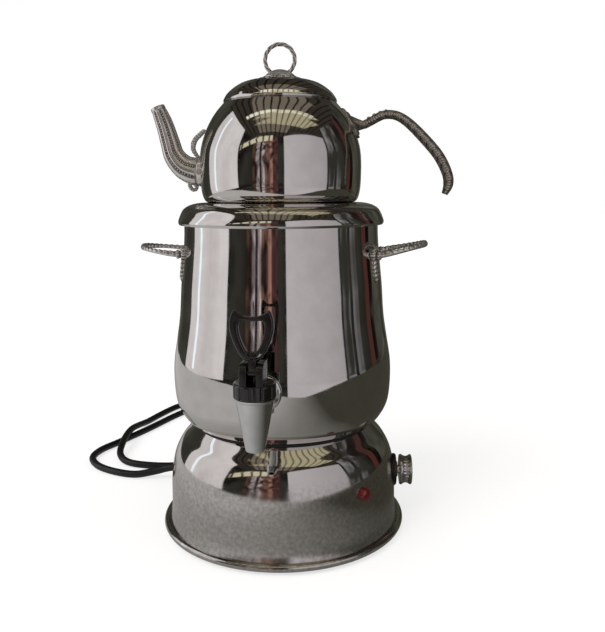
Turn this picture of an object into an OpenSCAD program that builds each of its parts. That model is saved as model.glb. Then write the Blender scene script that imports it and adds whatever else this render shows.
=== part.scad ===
// Electric samovar: a mirror polished water urn on a spun base that holds the
// heater's controls, with a sprung front tap, a steam ring lid and a teapot on top.
// Millimetres. +Z is up, the tap faces -Y, and the origin is the middle of the foot.

/* [Base] */
// Height of the base's top lip above the table
base_h = 97; // [90:0.5:110]
// Radius of the base's wall at half height
base_r = 101.5; // [98:0.5:103]
// Outer radius of the rolled bead at the foot
bead_r = 110; // [108:0.5:116]
// Thickness of the rolled bead
bead_d = 6.5; // [5:0.25:7]
// Radius of the base's top edge, under the urn
lip_r = 79; // [76:0.5:82]
// Sheet thickness of the base
base_wall = 1; // [0.7:0.1:1.4]
// Height of the bead above the table
foot_gap = 2.5; // [1:0.25:4]
// Thickness of the bottom plate
plate_t = 1; // [0.8:0.1:1.5]

/* [Urn] */
// Height of the urn, from its floor to its rim
urn_h = 182.5; // [165:0.5:200]
// Radius of the urn's floor
urn_floor_r = 79.5; // [78:0.5:81]
// Largest radius of the urn
belly_r = 96.8; // [93:0.2:99]
// Height of the largest radius above the urn's floor
belly_h = 40; // [36:0.5:44]
// Radius of the urn's neck
neck_r = 84; // [82:0.5:85.5]
// Sheet thickness of the urn
urn_wall = 0.9; // [0.6:0.1:1.2]
// Width of the flat rim that the ring lid rests on
rim_w = 1.6; // [1:0.2:3]
// Thickness of the rubber gasket between base and urn
seat_t = 1.5; // [1:0.25:2.5]

/* [Ring lid] */
// Height of the ring lid's top above the urn's rim
ring_h = 10; // [8:0.5:13]
// How far the skirt hangs below the urn's rim
ring_drop = 8.4; // [6:0.2:10]
// How far the skirt flares out past the lid's edge over the rim
ring_flare = 2.1; // [1:0.1:4]
// Radius of the steam hole
steam_r = 56; // [45:1:58]
// Sheet thickness of the ring lid
ring_wall = 0.9; // [0.6:0.1:1.2]

/* [Teapot] */
// Height of the teapot's body, from its bottom to its mouth
pot_h = 84; // [76:0.5:95]
// Largest radius of the teapot
pot_r = 69.2; // [66:0.2:74]
// Radius of the teapot's flat bottom
pot_floor_r = 62; // [60:0.5:64]
// Radius of the teapot's mouth
mouth_r = 44.5; // [40:0.5:47]
// Sheet thickness of the teapot
pot_wall = 0.8; // [0.6:0.1:1.1]
// Height of the teapot lid's dome above the mouth
dome_h = 18; // [13:0.5:24]
// How far the lid's rim reaches past the mouth
lid_rim = 3.8; // [2.5:0.1:5]
// Depth of the lid's skirt inside the mouth
lid_skirt = 9; // [6:0.5:12]
// Outer radius of the ring grip on the lid
grip_r = 14.35; // [12:0.05:17]
// Wire thickness of the ring grip
grip_d = 3.5; // [2.8:0.1:4.5]

/* [Spout and pot handle] */
// Height of the spout's root above the teapot's bottom
spout_z = 26.5; // [24:0.5:31]
// Reach of the spout's tip past the teapot's wall
spout_reach = 38.8; // [34:0.2:46]
// Rise of the spout's tip above its root
spout_rise = 55.5; // [48:0.5:62]
// Radius of the spout at its root
spout_root_r = 12.6; // [11:0.2:14]
// Radius of the spout at its tip
spout_tip_r = 6.2; // [5.6:0.1:7.5]
// Wall of the spout between its flutes
spout_wall = 1.6; // [1.2:0.1:2]
// Number of flutes round the spout
flutes = 8; // [6:1:10]
// Height of the pot handle's root above the teapot's bottom
grip_root_z = 62; // [58:0.5:65]
// Reach of the pot handle past the teapot's wall
handle_reach = 80; // [70:1:90]
// Half width of the pot handle, side to side
handle_half_w = 7; // [5.5:0.25:9]

/* [Urn handles] */
// Height of the urn handles above the urn's floor
side_z = 149; // [135:0.5:155]
// Reach of the urn handles past the wall
side_reach = 42; // [36:0.5:50]
// Distance from the middle of a handle to each foot
side_half = 25; // [22:0.5:29]
// Bar thickness of the urn handles
side_bar = 5.6; // [4.6:0.2:7]
// Upward tilt of the left handle
left_tilt = 7; // [0:1:15]
// Upward tilt of the right handle
right_tilt = 12; // [0:1:15]

/* [Tap] */
// Distance from the urn's axis to the spout of the tap
tap_reach = 135; // [131:0.5:142]
// Height of the tap's shank above the urn's floor
shank_z = 48.5; // [45:0.5:54]
// Radius of the tap's threaded shank
shank_r = 7.4; // [7:0.1:7.8]
// Radius of the water way through the shank
water_r = 4.4; // [4:0.1:4.8]
// Radius of the tap body's top rim
tap_top_r = 14.9; // [14:0.1:15.4]
// Radius of the tap's outlet end
outlet_r = 7.25; // [6.8:0.05:8]
// Height of the tap body
tap_h = 40.5; // [37:0.5:46]
// Height of the black bonnet nut
bonnet_h = 11.2; // [10.6:0.2:14]
// Radius of the black bonnet nut
bonnet_r = 15.5; // [15.4:0.1:17]
// Width of the lever's yoke on the bonnet
yoke_w = 17; // [14:0.2:19]
// Width of the lever's ring
lever_w = 31.5; // [27:0.5:38]
// Height of the lever above its yoke
lever_h = 36; // [32:0.5:46]
// How far the lever tips forward, in degrees
lever_tilt = 40; // [25:1:40]
// Radius of the round cover plate where the shank enters the urn
plate_r = 14.2; // [13:0.1:18]
// Thickness of the lever's ring, front to back
lever_t = 6; // [4.5:0.5:7]

/* [Controls] */
// Radius of the thermostat knob
knob_r = 13.8; // [11:0.2:16]
// Length of the thermostat knob
knob_len = 11; // [9:0.5:16]
// Height of the knob's axis above the table
knob_z = 47; // [42:0.5:52]
// Direction of the knob round the base, from +X
knob_turn = 5; // [-10:1:15]
// Radius of the dial plate
dial_r = 14.5; // [12:0.25:17]
// Height of the pilot lamp above the table
lamp_z = 54; // [46:0.5:60]
// Direction of the pilot lamp round the base, from +X
lamp_turn = -41; // [-60:1:-30]
// Radius of the pilot lamp's lens
lamp_r = 5.5; // [4.6:0.1:7]

/* [Heater] */
// Radius of the heating element's ring
heater_r = 50; // [44:1:56]
// Thickness of the heating element's tube
heater_d = 8; // [6.5:0.5:9]
// Height of the heating element above the urn's floor
heater_z = 15; // [14:0.5:18]

/* [Cord] */
// Diameter of the mains cord
cord_d = 7.6; // [6.5:0.1:8]
// Length of the tapered strain relief outside the base
relief_len = 22; // [20:0.5:26]

/* [Hidden] */
$fn = 96;

// Colours
steel = "#c9c9c6";
satin = "#b4b4b0";
cast = "#a9a59c";
black = "#161616";
rubber = "#232323";
red = "#a01414";
brass = "#b8963c";

// Clearances and small fits
slide_gap = 0.6;      // between a lifting lid and what it sits in
run_gap = 0.05;       // radial gap of a shaft that turns in its bore
free_gap = 0.4;       // between moving pieces that never touch
seat_gap = 0.04;      // between a cast foot and the curved wall it stands on
nut_gap = 0.35;       // between a flat nut and the curved wall it is drawn against
eps = 0.01;

// Heights of the stack
urn_z = base_h + seat_t;
rim_z = urn_z + urn_h;
pot_z = rim_z + ring_h;
mouth_z = pot_z + pot_h;
dome_z = mouth_z + dome_h;

// ---- Curves and sweeps ----

function pick(p, i) = p[max(0, min(i, len(p) - 1))];
function unit(v) = v / norm(v);
function heading(p, i) = unit(pick(p, i + 1) - pick(p, i - 1));
function between(a, b, t) = a + t * (b - a);
function flipped(p) = [for (i = [len(p) - 1 : -1 : 0]) p[i]];

// Point between b and c on the smooth curve through four points
function curve_point(a, b, c, d, t) =
    0.5 * (2 * b + (c - a) * t + (2 * a - 5 * b + 4 * c - d) * t * t
        + (3 * b - a - 3 * c + d) * t * t * t);

// Smooth curve through the points, with n steps between neighbours
function smooth(p, n) = [
    for (i = [0 : len(p) - 2], k = [0 : n - 1])
        curve_point(pick(p, i - 1), p[i], p[i + 1], pick(p, i + 2), k / n),
    p[len(p) - 1]
];

// The same, with its first and last stretches kept straight
function straight_ended(p, n) =
    concat([p[0]], smooth([for (i = [1 : len(p) - 2]) p[i]], n), [p[len(p) - 1]]);

// Outline moved to its left by the wall's thickness
function inset(p, wall) = [
    for (i = [0 : len(p) - 1]) let (d = heading(p, i)) p[i] + wall * [-d[1], d[0]]
];

// Radius of an outline of [radius, height] points at one height
function radius_at(outline, z) = lookup(z, [for (p = outline) [p[1], p[0]]]);

// Side directions along a path, each carried on from the one before
function carried(dirs, side, i = 0) =
    i == len(dirs) ? [] :
    let (s = unit(side - (side * dirs[i]) * dirs[i])) concat([s], carried(dirs, s, i + 1));

function oval(a, b, n) = [for (k = [0 : n - 1]) [a * cos(360 * k / n), b * sin(360 * k / n)]];

function ring_points(centre, along, side, shape) =
    let (up = cross(along, side)) [for (q = shape) centre + q[0] * side + q[1] * up];

// One ring of points per path point; shapes holds each ring's flat outline
function sweep_rings(path, shapes, side) =
    let (dirs = [for (i = [0 : len(path) - 1]) heading(path, i)], sides = carried(dirs, side))
    [for (i = [0 : len(path) - 1]) ring_points(path[i], dirs[i], sides[i], shapes[i])];

function wall_faces(first, rings, n) = [
    for (i = [0 : rings - 2], k = [0 : n - 1])
        let (a = first + i * n + k, b = first + i * n + (k + 1) % n)
        each [[a, a + n, b + n], [a, b + n, b]]
];

// Solid through a list of rings
module skin(rings) {
    n = len(rings[0]);
    last = (len(rings) - 1) * n;
    polyhedron(
        points = [for (r = rings) each r],
        faces = concat(
            wall_faces(0, len(rings), n),
            [for (k = [1 : n - 2]) [0, k, k + 1]],
            [for (k = [1 : n - 2]) [last, last + k + 1, last + k]]),
        convexity = 8);
}

// Open ended pipe between an outer and an inner list of rings
module pipe_skin(outer, inner) {
    n = len(outer[0]);
    count = len(outer);
    inside = count * n;
    last = (count - 1) * n;
    polyhedron(
        points = concat([for (r = outer) each r], [for (r = inner) each r]),
        faces = concat(
            wall_faces(0, count, n),
            [for (f = wall_faces(inside, count, n)) [f[2], f[1], f[0]]],
            [for (k = [0 : n - 1]) let (j = (k + 1) % n)
                each [[k, j, inside + j], [k, inside + j, inside + k]]],
            [for (k = [0 : n - 1]) let (j = (k + 1) % n)
                each [[last + k, inside + last + j, last + j],
                    [last + k, inside + last + k, inside + last + j]]]),
        convexity = 10);
}

// Round tube along a path
module tube(path, r, sides, side = [0, 0, 1])
    skin(sweep_rings(path, [for (p = path) oval(r, r, sides)], side));

// Sheet metal shell turned from an outline
module spun(outline, wall)
    rotate_extrude() polygon(concat(outline, flipped(inset(outline, wall))));

// Everything inside an outline
module filled(outline)
    rotate_extrude() polygon(concat(
        [[0, outline[0][1]]], outline, [[0, outline[len(outline) - 1][1]]]));

// Places children at a height, pointing out from the axis in a given direction
module outward(turn, r, z) rotate([0, 0, turn]) translate([r, 0, z]) rotate([0, 90, 0]) children();

// ---- Base ----

plate_top = foot_gap + bead_d - 1.5;
bead_in = bead_r - bead_d;
base_outline = smooth([
    [bead_r - 0.75 * bead_d, foot_gap + 0.9 * bead_d],
    [base_r + 1.7, foot_gap + bead_d + 7],
    [base_r + 0.9, 0.25 * base_h],
    [base_r + 0.2, 0.5 * base_h],
    [base_r - 3, 0.7 * base_h],
    [base_r - 9.5, 0.84 * base_h],
    [lip_r + 0.45 * (base_r - 9.5 - lip_r), 0.925 * base_h],
    [lip_r, base_h]], 4);
relief_turn = 150;
relief_z = foot_gap + bead_d + 8;
relief_r = 6;
bush_r = 5;
lamp_stem_r = lamp_r - 0.8;
stud_r = 2.5;
stud_ring = 66;
stud_turns = [30, 150, 270];
vent_ring = 45;
slot_len = 10;
slot_r = 1.5;

module base_shell() color(steel) difference() {
    union() {
        spun(base_outline, base_wall);
        // Rolled bead
        rotate_extrude() translate([bead_r - bead_d / 2, foot_gap + bead_d / 2])
            circle(d = bead_d, $fn = 32);
        // Flat ledge that the bottom plate is drawn up against
        translate([0, 0, plate_top]) linear_extrude(base_wall) difference() {
            circle(bead_in + 1);
            circle(bead_in - 6);
        }
        // Turned in seat under the urn
        translate([0, 0, base_h - base_wall]) linear_extrude(base_wall) difference() {
            circle(lip_r);
            circle(lip_r - 9);
        }
    }
    outward(knob_turn, base_r - 10, knob_z) cylinder(r = bush_r + 0.05, h = 20);
    outward(lamp_turn, base_r - 10, lamp_z) cylinder(r = lamp_stem_r, h = 20);
    outward(relief_turn, base_r - 10, relief_z) cylinder(r = relief_r, h = 20);
}

module base_plate() color(satin) difference() {
    translate([0, 0, plate_top - plate_t]) cylinder(r = bead_in - 0.5, h = plate_t);
    for (a = stud_turns) rotate([0, 0, a]) translate([stud_ring, 0, 0]) cylinder(r = stud_r, h = 20);
    // Ring of cooling slots with round ends
    for (a = [0 : 20 : 340]) rotate([0, 0, a]) translate([vent_ring, 0, 0]) {
        translate([-slot_len / 2, -slot_r, -1]) cube([slot_len, 2 * slot_r, 20]);
        for (s = [-1, 1]) translate([s * slot_len / 2, 0, -1]) cylinder(r = slot_r, h = 20);
    }
    // Holes for the foot ring's plugs
    for (a = [0 : 60 : 300]) rotate([0, 0, a]) translate([foot_mid, 0, 0]) cylinder(r = 2, h = 20);
}

foot_mid = bead_in - 11;
module foot_ring() color(rubber) {
    rotate_extrude() polygon([
        [foot_mid - 4.5, 0], [foot_mid + 4.5, 0],
        [foot_mid + 5, plate_top - plate_t], [foot_mid - 5, plate_top - plate_t]]);
    for (a = [0 : 60 : 300]) rotate([0, 0, a]) translate([foot_mid, 0, plate_top - plate_t - eps])
        cylinder(r = 2, h = plate_t + 1.5);
}

nut_h = 4;
module tie_studs() color(satin) for (a = stud_turns) rotate([0, 0, a])
    translate([stud_ring, 0, plate_top - plate_t - nut_h])
    cylinder(r = stud_r, h = urn_z - plate_top + plate_t + nut_h);

module tie_nuts() color(satin) for (a = stud_turns) rotate([0, 0, a])
    translate([stud_ring, 0, plate_top - plate_t - nut_h]) difference() {
        cylinder(r = 4.6, h = nut_h, $fn = 6);
        translate([0, 0, -1]) cylinder(r = stud_r, h = nut_h + 2);
    }

module seat_gasket() color(rubber) translate([0, 0, base_h]) difference() {
    cylinder(r = lip_r + 1.3, h = seat_t);
    translate([0, 0, -1]) cylinder(r = lip_r - 8, h = seat_t + 2);
}

// ---- Urn ----

belly_step = belly_r - urn_floor_r;
neck_step = belly_r - neck_r;
neck_h = urn_h - belly_h;
urn_outline = smooth(concat(
    [for (p = [[0.03, 0], [0.43, 0.11], [0.82, 0.39], [0.945, 0.62], [1, 1]])
        [urn_floor_r + belly_step * p[0], urn_z + belly_h * p[1]]],
    [for (p = [[0.045, 0.116], [0.3, 0.256], [0.53, 0.396], [0.67, 0.572], [0.83, 0.712], [0.977, 0.867],
            [1, 1]])
        [belly_r - neck_step * p[0], urn_z + belly_h + neck_h * p[1]]]), 3);
function urn_r(z) = radius_at(urn_outline, z);

shank_height = urn_z + shank_z;
leg_turn = 22;
leg_x = heater_r * cos(90 + leg_turn);
leg_y = heater_r * sin(90 + leg_turn);
element_r = heater_d / 2;
collar_r = element_r + 3;
leg_low = 14;                        // how far the legs come down under the urn's floor
blade = [6, 0.8, 8];                 // flat connector blade on a leg's end

module urn() color(steel) difference() {
    union() {
        spun(urn_outline, urn_wall);
        translate([0, 0, urn_z]) cylinder(r = urn_outline[0][0], h = urn_wall);
        // Flat turned out rim
        translate([0, 0, rim_z - urn_wall]) difference() {
            cylinder(r = neck_r + rim_w, h = urn_wall);
            translate([0, 0, -1]) cylinder(r = neck_r - urn_wall / 2, h = urn_wall + 2);
        }
    }
    // Hole for the tap's shank
    translate([0, 0, shank_height]) rotate([90, 0, 0]) cylinder(r = shank_r, h = belly_r + 10);
    // Holes for the element's legs
    for (s = [-1, 1]) translate([s * leg_x, leg_y, urn_z - 1]) cylinder(r = element_r, h = 5);
    // Holes for the handle screws
    for (s = [0, 180], f = [-1, 1]) side_screw_line(s, f) cylinder(r = screw_r, h = 30);
}

// Tubular element: a ring of tube on two legs that come up through the floor
module heating_element() color(satin) {
    translate([0, 0, urn_z + heater_z]) rotate([0, 0, 90 + leg_turn])
        rotate_extrude(angle = 360 - 2 * leg_turn) translate([heater_r, 0]) circle(element_r);
    for (s = [-1, 1]) translate([s * leg_x, leg_y, urn_z]) {
        // Brazed knuckle at the top of the leg
        translate([0, 0, heater_z]) sphere(element_r + 0.6);
        translate([0, 0, -leg_low]) cylinder(r = element_r, h = leg_low + heater_z);
        translate([0, 0, urn_wall + 1]) cylinder(r = collar_r, h = 2.5);
        translate([-blade[0] / 2, -blade[1] / 2, -leg_low - blade[2]]) cube(blade + [0, 0, eps]);
    }
}

module element_gaskets() color(rubber) for (s = [-1, 1])
    translate([s * leg_x, leg_y, urn_z + urn_wall]) difference() {
        cylinder(r = collar_r, h = 1);
        translate([0, 0, -1]) cylinder(r = element_r, h = 3);
    }

module element_nuts() color(brass) for (s = [-1, 1])
    translate([s * leg_x, leg_y, urn_z - 5]) difference() {
        cylinder(r = collar_r + 1, h = 5, $fn = 6);
        translate([0, 0, -1]) cylinder(r = element_r, h = 7);
    }

// ---- Urn handles ----

screw_r = 2;
side_height = urn_z + side_z;
side_wall_r = urn_r(side_height);
side_foot_turn = asin(side_half / side_wall_r);
boss_r = 5;
boss_len = 6;

// Line through a handle's foot, out from inside the urn; s is 0 or 180, f is the foot
module side_screw_line(s, f) outward(s + f * side_foot_turn, side_wall_r - 12, side_height) children();

module side_handle(s, tilt) {
    foot_x = (side_wall_r + boss_len / 2) * cos(side_foot_turn);
    foot_y = (side_wall_r + boss_len / 2) * sin(side_foot_turn);
    tip_x = side_wall_r + side_reach - side_bar / 2;
    lift = tan(tilt);
    half = [[foot_x, foot_y], [foot_x + 0.3 * (tip_x - foot_x), foot_y + 2.5],
        [foot_x + 0.66 * (tip_x - foot_x), foot_y - 2.5], [foot_x + 0.92 * (tip_x - foot_x), foot_y - 14]];
    flat_path = concat([for (p = half) [p[0], -p[1]]], [[tip_x, 0]], [for (p = flipped(half)) p]);
    path = smooth([for (p = flat_path) [p[0], p[1], side_height + (p[0] - foot_x) * lift]], 3);
    difference() {
        union() {
            rotate([0, 0, s]) tube(path, side_bar / 2, 12);
            for (f = [-1, 1]) outward(s + f * side_foot_turn, side_wall_r - 2, side_height)
                cylinder(r1 = boss_r, r2 = boss_r - 1, h = boss_len + 2);
            // Leaf shaped leg that lies down the wall from each foot
            for (f = [-1, 1]) intersection() {
                rotate([0, 0, s + f * side_foot_turn]) translate([side_wall_r - 20, 0, side_height])
                    rotate([90, 0, 90]) linear_extrude(60) leaf();
                wall_band(urn_outline, 2);
            }
        }
        filled(urn_outline);
        for (f = [-1, 1]) side_screw_line(s, f) cylinder(r = screw_r, h = 12 + boss_len - 1);
    }
}

module leaf() polygon(smooth([
    [0, -24], [-3, -18], [-4.4, -10], [-3, -2], [-4.6, 3], [0, 7], [4.6, 3], [3, -2], [4.4, -10], [3, -18],
    [0, -24]], 3));

// Skin of the given thickness round the outside of an outline
module wall_band(outline, t) rotate_extrude() polygon(concat(inset(outline, -t), flipped(outline)));

module left_handle() color(cast) side_handle(180, left_tilt);
module right_handle() color(cast) side_handle(0, right_tilt);

module handle_screws() color(satin) for (s = [0, 180], f = [-1, 1]) {
    side_screw_line(s, f) translate([0, 0, 12 - urn_wall - 1]) cylinder(r = screw_r, h = urn_wall + boss_len);
    // Head, shaped to the inside of the wall
    intersection() {
        side_screw_line(s, f) translate([0, 0, 12 - urn_wall - 2.6]) cylinder(r1 = 3, r2 = 4.2, h = 4);
        filled(inset(urn_outline, urn_wall));
    }
}

// ---- Tap ----

tap_top = shank_height + shank_r + 0.5;
tap_bottom = tap_top - tap_h;
tap_cavity_r = shank_r + 0.2;
seat_z = shank_height - shank_r;
outlet_bore_r = outlet_r - 2.25;
roof_t = 2;
bonnet_top = tap_top + bonnet_h;
ear_r = 7;
pivot_y = -tap_reach - ear_r;
pivot_z = bonnet_top + 8.6;
pin_r = 1.5;
crank = ear_r;                       // from the pivot back to the stem's axis
lift = crank * sin(lever_tilt);      // travel of the stem
stem_r = 2;
collar_t = 1.5;
tongue_w = 6;
slot_w = tongue_w + 2 * free_gap;
tap_wall_y = urn_r(shank_height);
gasket_t = 2.2;
inner_y = tap_wall_y - urn_wall - 2.4;

module at_tap(z) translate([0, -tap_reach, z]) children();
// Along the shank's axis, measured out from the urn's middle
module on_shank(y) translate([0, -y, shank_height]) rotate([90, 0, 0]) children();

// Tapered body with the valve's seat; the shank is brazed into the socket at its back
socket_y = tap_reach - tap_cavity_r - 2.3;
recess_r = tap_cavity_r + 1.3;       // where the bonnet's sleeve goes in
recess_h = 5;
module tap_body() color(satin) difference() {
    at_tap(0) rotate_extrude() polygon([
        [0, tap_bottom], [outlet_r - 0.6, tap_bottom], [outlet_r, tap_bottom + 0.6],
        [tap_top_r - 0.9, tap_top - 2.4], [tap_top_r, tap_top - 1.6], [tap_top_r, tap_top], [0, tap_top]]);
    at_tap(tap_bottom - 1) cylinder(r = outlet_bore_r, h = tap_h);
    at_tap(seat_z) cylinder(r = tap_cavity_r, h = tap_h);
    at_tap(tap_top - recess_h) cylinder(r = recess_r, h = 2 * recess_h);
    on_shank(inner_y) cylinder(r = shank_r, h = socket_y - inner_y);
    on_shank(inner_y) cylinder(r = water_r, h = tap_reach - inner_y);
}

shank_start = inner_y - 8;
module tap_shank() color(satin) difference() {
    on_shank(shank_start) cylinder(r = shank_r, h = socket_y - shank_start);
    on_shank(shank_start - 1) cylinder(r = water_r, h = tap_reach);
}

// Dished cover plate against the outer gasket
module tap_plate() color(satin) on_shank(tap_wall_y + gasket_t) rotate_extrude() polygon([
    [shank_r, 0], [plate_r, 0], [plate_r, 1], [plate_r - 1.4, 2.2], [plate_r - 4, 1.6],
    [plate_r - 6, 1.8], [shank_r + 2.5, 4.5], [shank_r, 4.5]]);

module tap_gasket() color(rubber) {
    difference() {
        on_shank(tap_wall_y - 6) cylinder(r = plate_r - 2, h = gasket_t + 6);
        on_shank(tap_wall_y - 7) cylinder(r = shank_r, h = gasket_t + 8);
        filled(urn_outline);
    }
    // Inner gasket, under the nut
    difference() {
        intersection() {
            on_shank(inner_y) cylinder(r = shank_r + 4, h = 8);
            filled(inset(urn_outline, urn_wall));
        }
        on_shank(inner_y - 1) cylinder(r = shank_r, h = 10);
    }
}

module tap_nut() color(brass) difference() {
    on_shank(inner_y - 6) cylinder(r = shank_r + 5, h = 6, $fn = 6);
    on_shank(inner_y - 7) cylinder(r = shank_r, h = 8);
}

// Black plastic nut with a clevis for the lever on its top
module tap_bonnet() color(black) difference() {
    union() {
        at_tap(tap_top) rotate_extrude() polygon([
            [0, 0], [bonnet_r - 0.4, 0], [bonnet_r, 0.6], [bonnet_r, bonnet_h - 1.5],
            [bonnet_r - 1.5, bonnet_h], [0, bonnet_h]]);
        at_tap(tap_top - recess_h + 0.2) cylinder(r = recess_r - 0.1, h = recess_h + 1);
        translate([-yoke_w / 2, pivot_y - ear_r, bonnet_top - eps])
            cube([yoke_w, 2 * ear_r + 8, pivot_z - bonnet_top + eps]);
        translate([-yoke_w / 2, pivot_y, pivot_z - eps]) cube([yoke_w, ear_r + 8, ear_r + eps]);
        translate([-yoke_w / 2, pivot_y, pivot_z]) rotate([0, 90, 0]) cylinder(r = ear_r, h = yoke_w);
    }
    at_tap(tap_top - 6) cylinder(r = tap_cavity_r, h = 6 + bonnet_h - roof_t);
    at_tap(tap_top) cylinder(r = stem_r + run_gap, h = 2 * bonnet_h);
    // Slot for the lever's tongue and the stem's fork
    translate([-slot_w / 2, pivot_y - ear_r - 1, bonnet_top])
        cube([slot_w, 2 * ear_r + 1 + 3.1, 2 * ear_r + 10]);
    translate([-yoke_w, pivot_y, pivot_z]) rotate([0, 90, 0]) cylinder(r = pin_r, h = 2 * yoke_w);
    // Grip notches round the nut
    for (a = [0 : 30 : 330]) at_tap(tap_top - 1) rotate([0, 0, a + 15])
        translate([bonnet_r + 0.9, 0, 0]) cylinder(r = 1.4, h = bonnet_h - 1, $fn = 24);
}

fork_low = pivot_z - pin_r - 0.3;
fork_high = pivot_z + pin_r + 0.3;
module tap_stem() color(satin) {
    at_tap(seat_z + 1.5) cylinder(r = stem_r, h = fork_low - 2.3 - seat_z - 1.5 + eps);
    at_tap(tap_top - 0.5 - collar_t) cylinder(r = 5.6, h = collar_t);
    // Fork that the lever's nose lifts
    at_tap(0) difference() {
        translate([-tongue_w / 2, -1.6, fork_low - 2.3]) cube([tongue_w, 4.2, fork_high - fork_low + 4.6]);
        translate([-tongue_w, -2, fork_low]) cube([2 * tongue_w, 3.8, fork_high - fork_low]);
    }
}

module seat_cup() color(rubber) at_tap(seat_z) difference() {
    rotate_extrude() polygon([[0, 0], [5.4, 0], [6.5, 1.6], [6.5, 3.5], [4, 7], [0, 7]]);
    translate([0, 0, 1.5]) cylinder(r = stem_r, h = 10);
}

// Return spring, coiled between the stem's collar and the bonnet's roof
spring_wire = 0.9;
spring_r = 4.6;
spring_turns = 4;
spring_low = tap_top - 0.5 + spring_wire / 2 + 0.05;
spring_high = bonnet_top - roof_t - spring_wire / 2 - 0.05;
spring_steps = 12;
function spring_path() = [for (i = [0 : spring_turns * spring_steps])
    let (a = 360 * i / spring_steps)
    [spring_r * cos(a), spring_r * sin(a) - tap_reach,
        spring_low + (spring_high - spring_low) * i / (spring_turns * spring_steps)]];
module tap_spring() color(steel) tube(spring_path(), spring_wire / 2, 6);
echo(spring_gap = (spring_high - spring_low) / spring_turns - spring_wire);

module lever_pin() color(steel) translate([-yoke_w / 2, pivot_y, pivot_z])
    rotate([0, 90, 0]) cylinder(r = pin_r, h = yoke_w);

// Right half of the ring's outline and of its opening, up from the pivot
lever_outer = smooth([[2.6, 8.2], [6.6, 10.4], [9.8, 14.6], [12.8, 21], [15.1, 28], [15.75, 33.5],
    [15.1, 39.5], [12.9, 44.2], [9.8, 42.8], [5, 40.4], [0, 39.7]], 3);
lever_inner = smooth([[0, 14.4], [3.6, 15.6], [6.6, 20.8], [8.8, 27.5], [9.4, 33], [8.7, 36], [6, 37.2],
    [0, 36.8]], 3);
lever_low = lever_outer[0][1];
drawn_w = 31.5;                      // width and height that the two outlines are drawn for
drawn_h = 36;
function lever_scaled(p) = [for (q = p)
    [q[0] * lever_w / drawn_w, lever_low + (q[1] - lever_low) * lever_h / drawn_h]];
function both_sides(p) = concat([for (q = p) [-q[0], q[1]]], flipped(p));

module lever_plate(t) rotate([90, 0, 0]) translate([0, 0, -t / 2]) linear_extrude(t) difference() {
    polygon(both_sides(lever_scaled(lever_outer)));
    polygon(both_sides(lever_scaled(lever_inner)));
}

module tap_lever() color(black) translate([0, pivot_y, pivot_z]) difference() {
    union() {
        lever_plate(lever_t);
        // Tongue and hub in the clevis
        translate([-tongue_w / 2, -lever_t / 2, 0]) cube([tongue_w, lever_t, 9]);
        translate([-tongue_w / 2, 0, 0]) rotate([0, 90, 0]) cylinder(r = 3.4, h = tongue_w);
        // Crank and the nose in the stem's fork
        translate([-tongue_w / 2 + 0.2, 0, -1]) cube([tongue_w - 0.4, crank, 2]);
        translate([-tongue_w / 2 + 0.2, crank, 0]) rotate([0, 90, 0]) cylinder(r = pin_r, h = tongue_w - 0.4);
    }
    translate([-tongue_w, 0, 0]) rotate([0, 90, 0]) cylinder(r = pin_r + run_gap, h = 2 * tongue_w);
    // Triangular recess at the foot of the ring, front and back
    for (s = [-1, 1]) translate([0, s * lever_t / 2, 0]) rotate([90, 0, 0]) linear_extrude(2, center = true)
        polygon(lever_scaled([[0, 8.6], [3, 13.2], [-3, 13.2]]));
}

// ---- Ring lid ----

seat_flat = pot_floor_r + 8;         // radius of the flat top that the teapot stands on
edge_r = neck_r + rim_w + slide_gap + ring_wall;
ring_r = edge_r + ring_flare;
ring_slope = edge_r - seat_flat;
ring_outline = concat(smooth([
    [ring_r - 1, rim_z - ring_drop], [ring_r, rim_z - ring_drop + 1.6],
    [ring_r - 0.4, rim_z - 0.5 * ring_drop], [edge_r, rim_z],
    [edge_r - 0.16 * ring_slope, rim_z + 0.48 * ring_h], [edge_r - 0.46 * ring_slope, rim_z + 0.8 * ring_h],
    [edge_r - 0.8 * ring_slope, rim_z + 0.96 * ring_h], [seat_flat, pot_z]], 3), [[steam_r, pot_z]]);
spigot_r = neck_r - urn_wall - slide_gap;
spigot_len = 14;

module ring_lid() color(steel) {
    spun(ring_outline, ring_wall);
    // Flat seat on the urn's rim, and the spigot that centres the lid in the neck
    translate([0, 0, rim_z]) linear_extrude(ring_wall) difference() {
        circle(neck_r + rim_w + 0.5 * slide_gap);
        circle(spigot_r - ring_wall);
    }
    translate([0, 0, rim_z - spigot_len]) linear_extrude(spigot_len + 0.3 * ring_h) difference() {
        circle(spigot_r);
        circle(spigot_r - ring_wall);
    }
    // Turned down lip of the steam hole
    translate([0, 0, pot_z - 6]) linear_extrude(6 - ring_wall / 2) difference() {
        circle(steam_r + ring_wall);
        circle(steam_r);
    }
}

// ---- Teapot ----

corner_h = 24;                       // height at which the bottom corner meets the straight wall
straight_h = 34;                     // height at which the wall starts to curve in
shoulder_r = mouth_r + 2.8;
pot_outline = smooth(concat(
    [for (p = [[0, 0], [0.36, 0.03], [0.6, 0.125], [0.8, 0.31], [0.94, 0.58], [1, 1]])
        [pot_floor_r + (pot_r - pot_floor_r) * p[0], pot_z + corner_h * p[1]]],
    [for (p = [[0, 0], [0.03, 0.18], [0.11, 0.34], [0.256, 0.52], [0.447, 0.686], [0.676, 0.836],
            [0.93, 0.964], [1, 1]])
        [pot_r - (pot_r - shoulder_r) * p[0], pot_z + straight_h + (pot_h - straight_h) * p[1]]]), 3);
function pot_wall_r(z) = radius_at(pot_outline, z);

spout_root_z = pot_z + spout_z;
handle_root_z = pot_z + grip_root_z;
root_x = pot_wall_r(handle_root_z);
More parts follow.
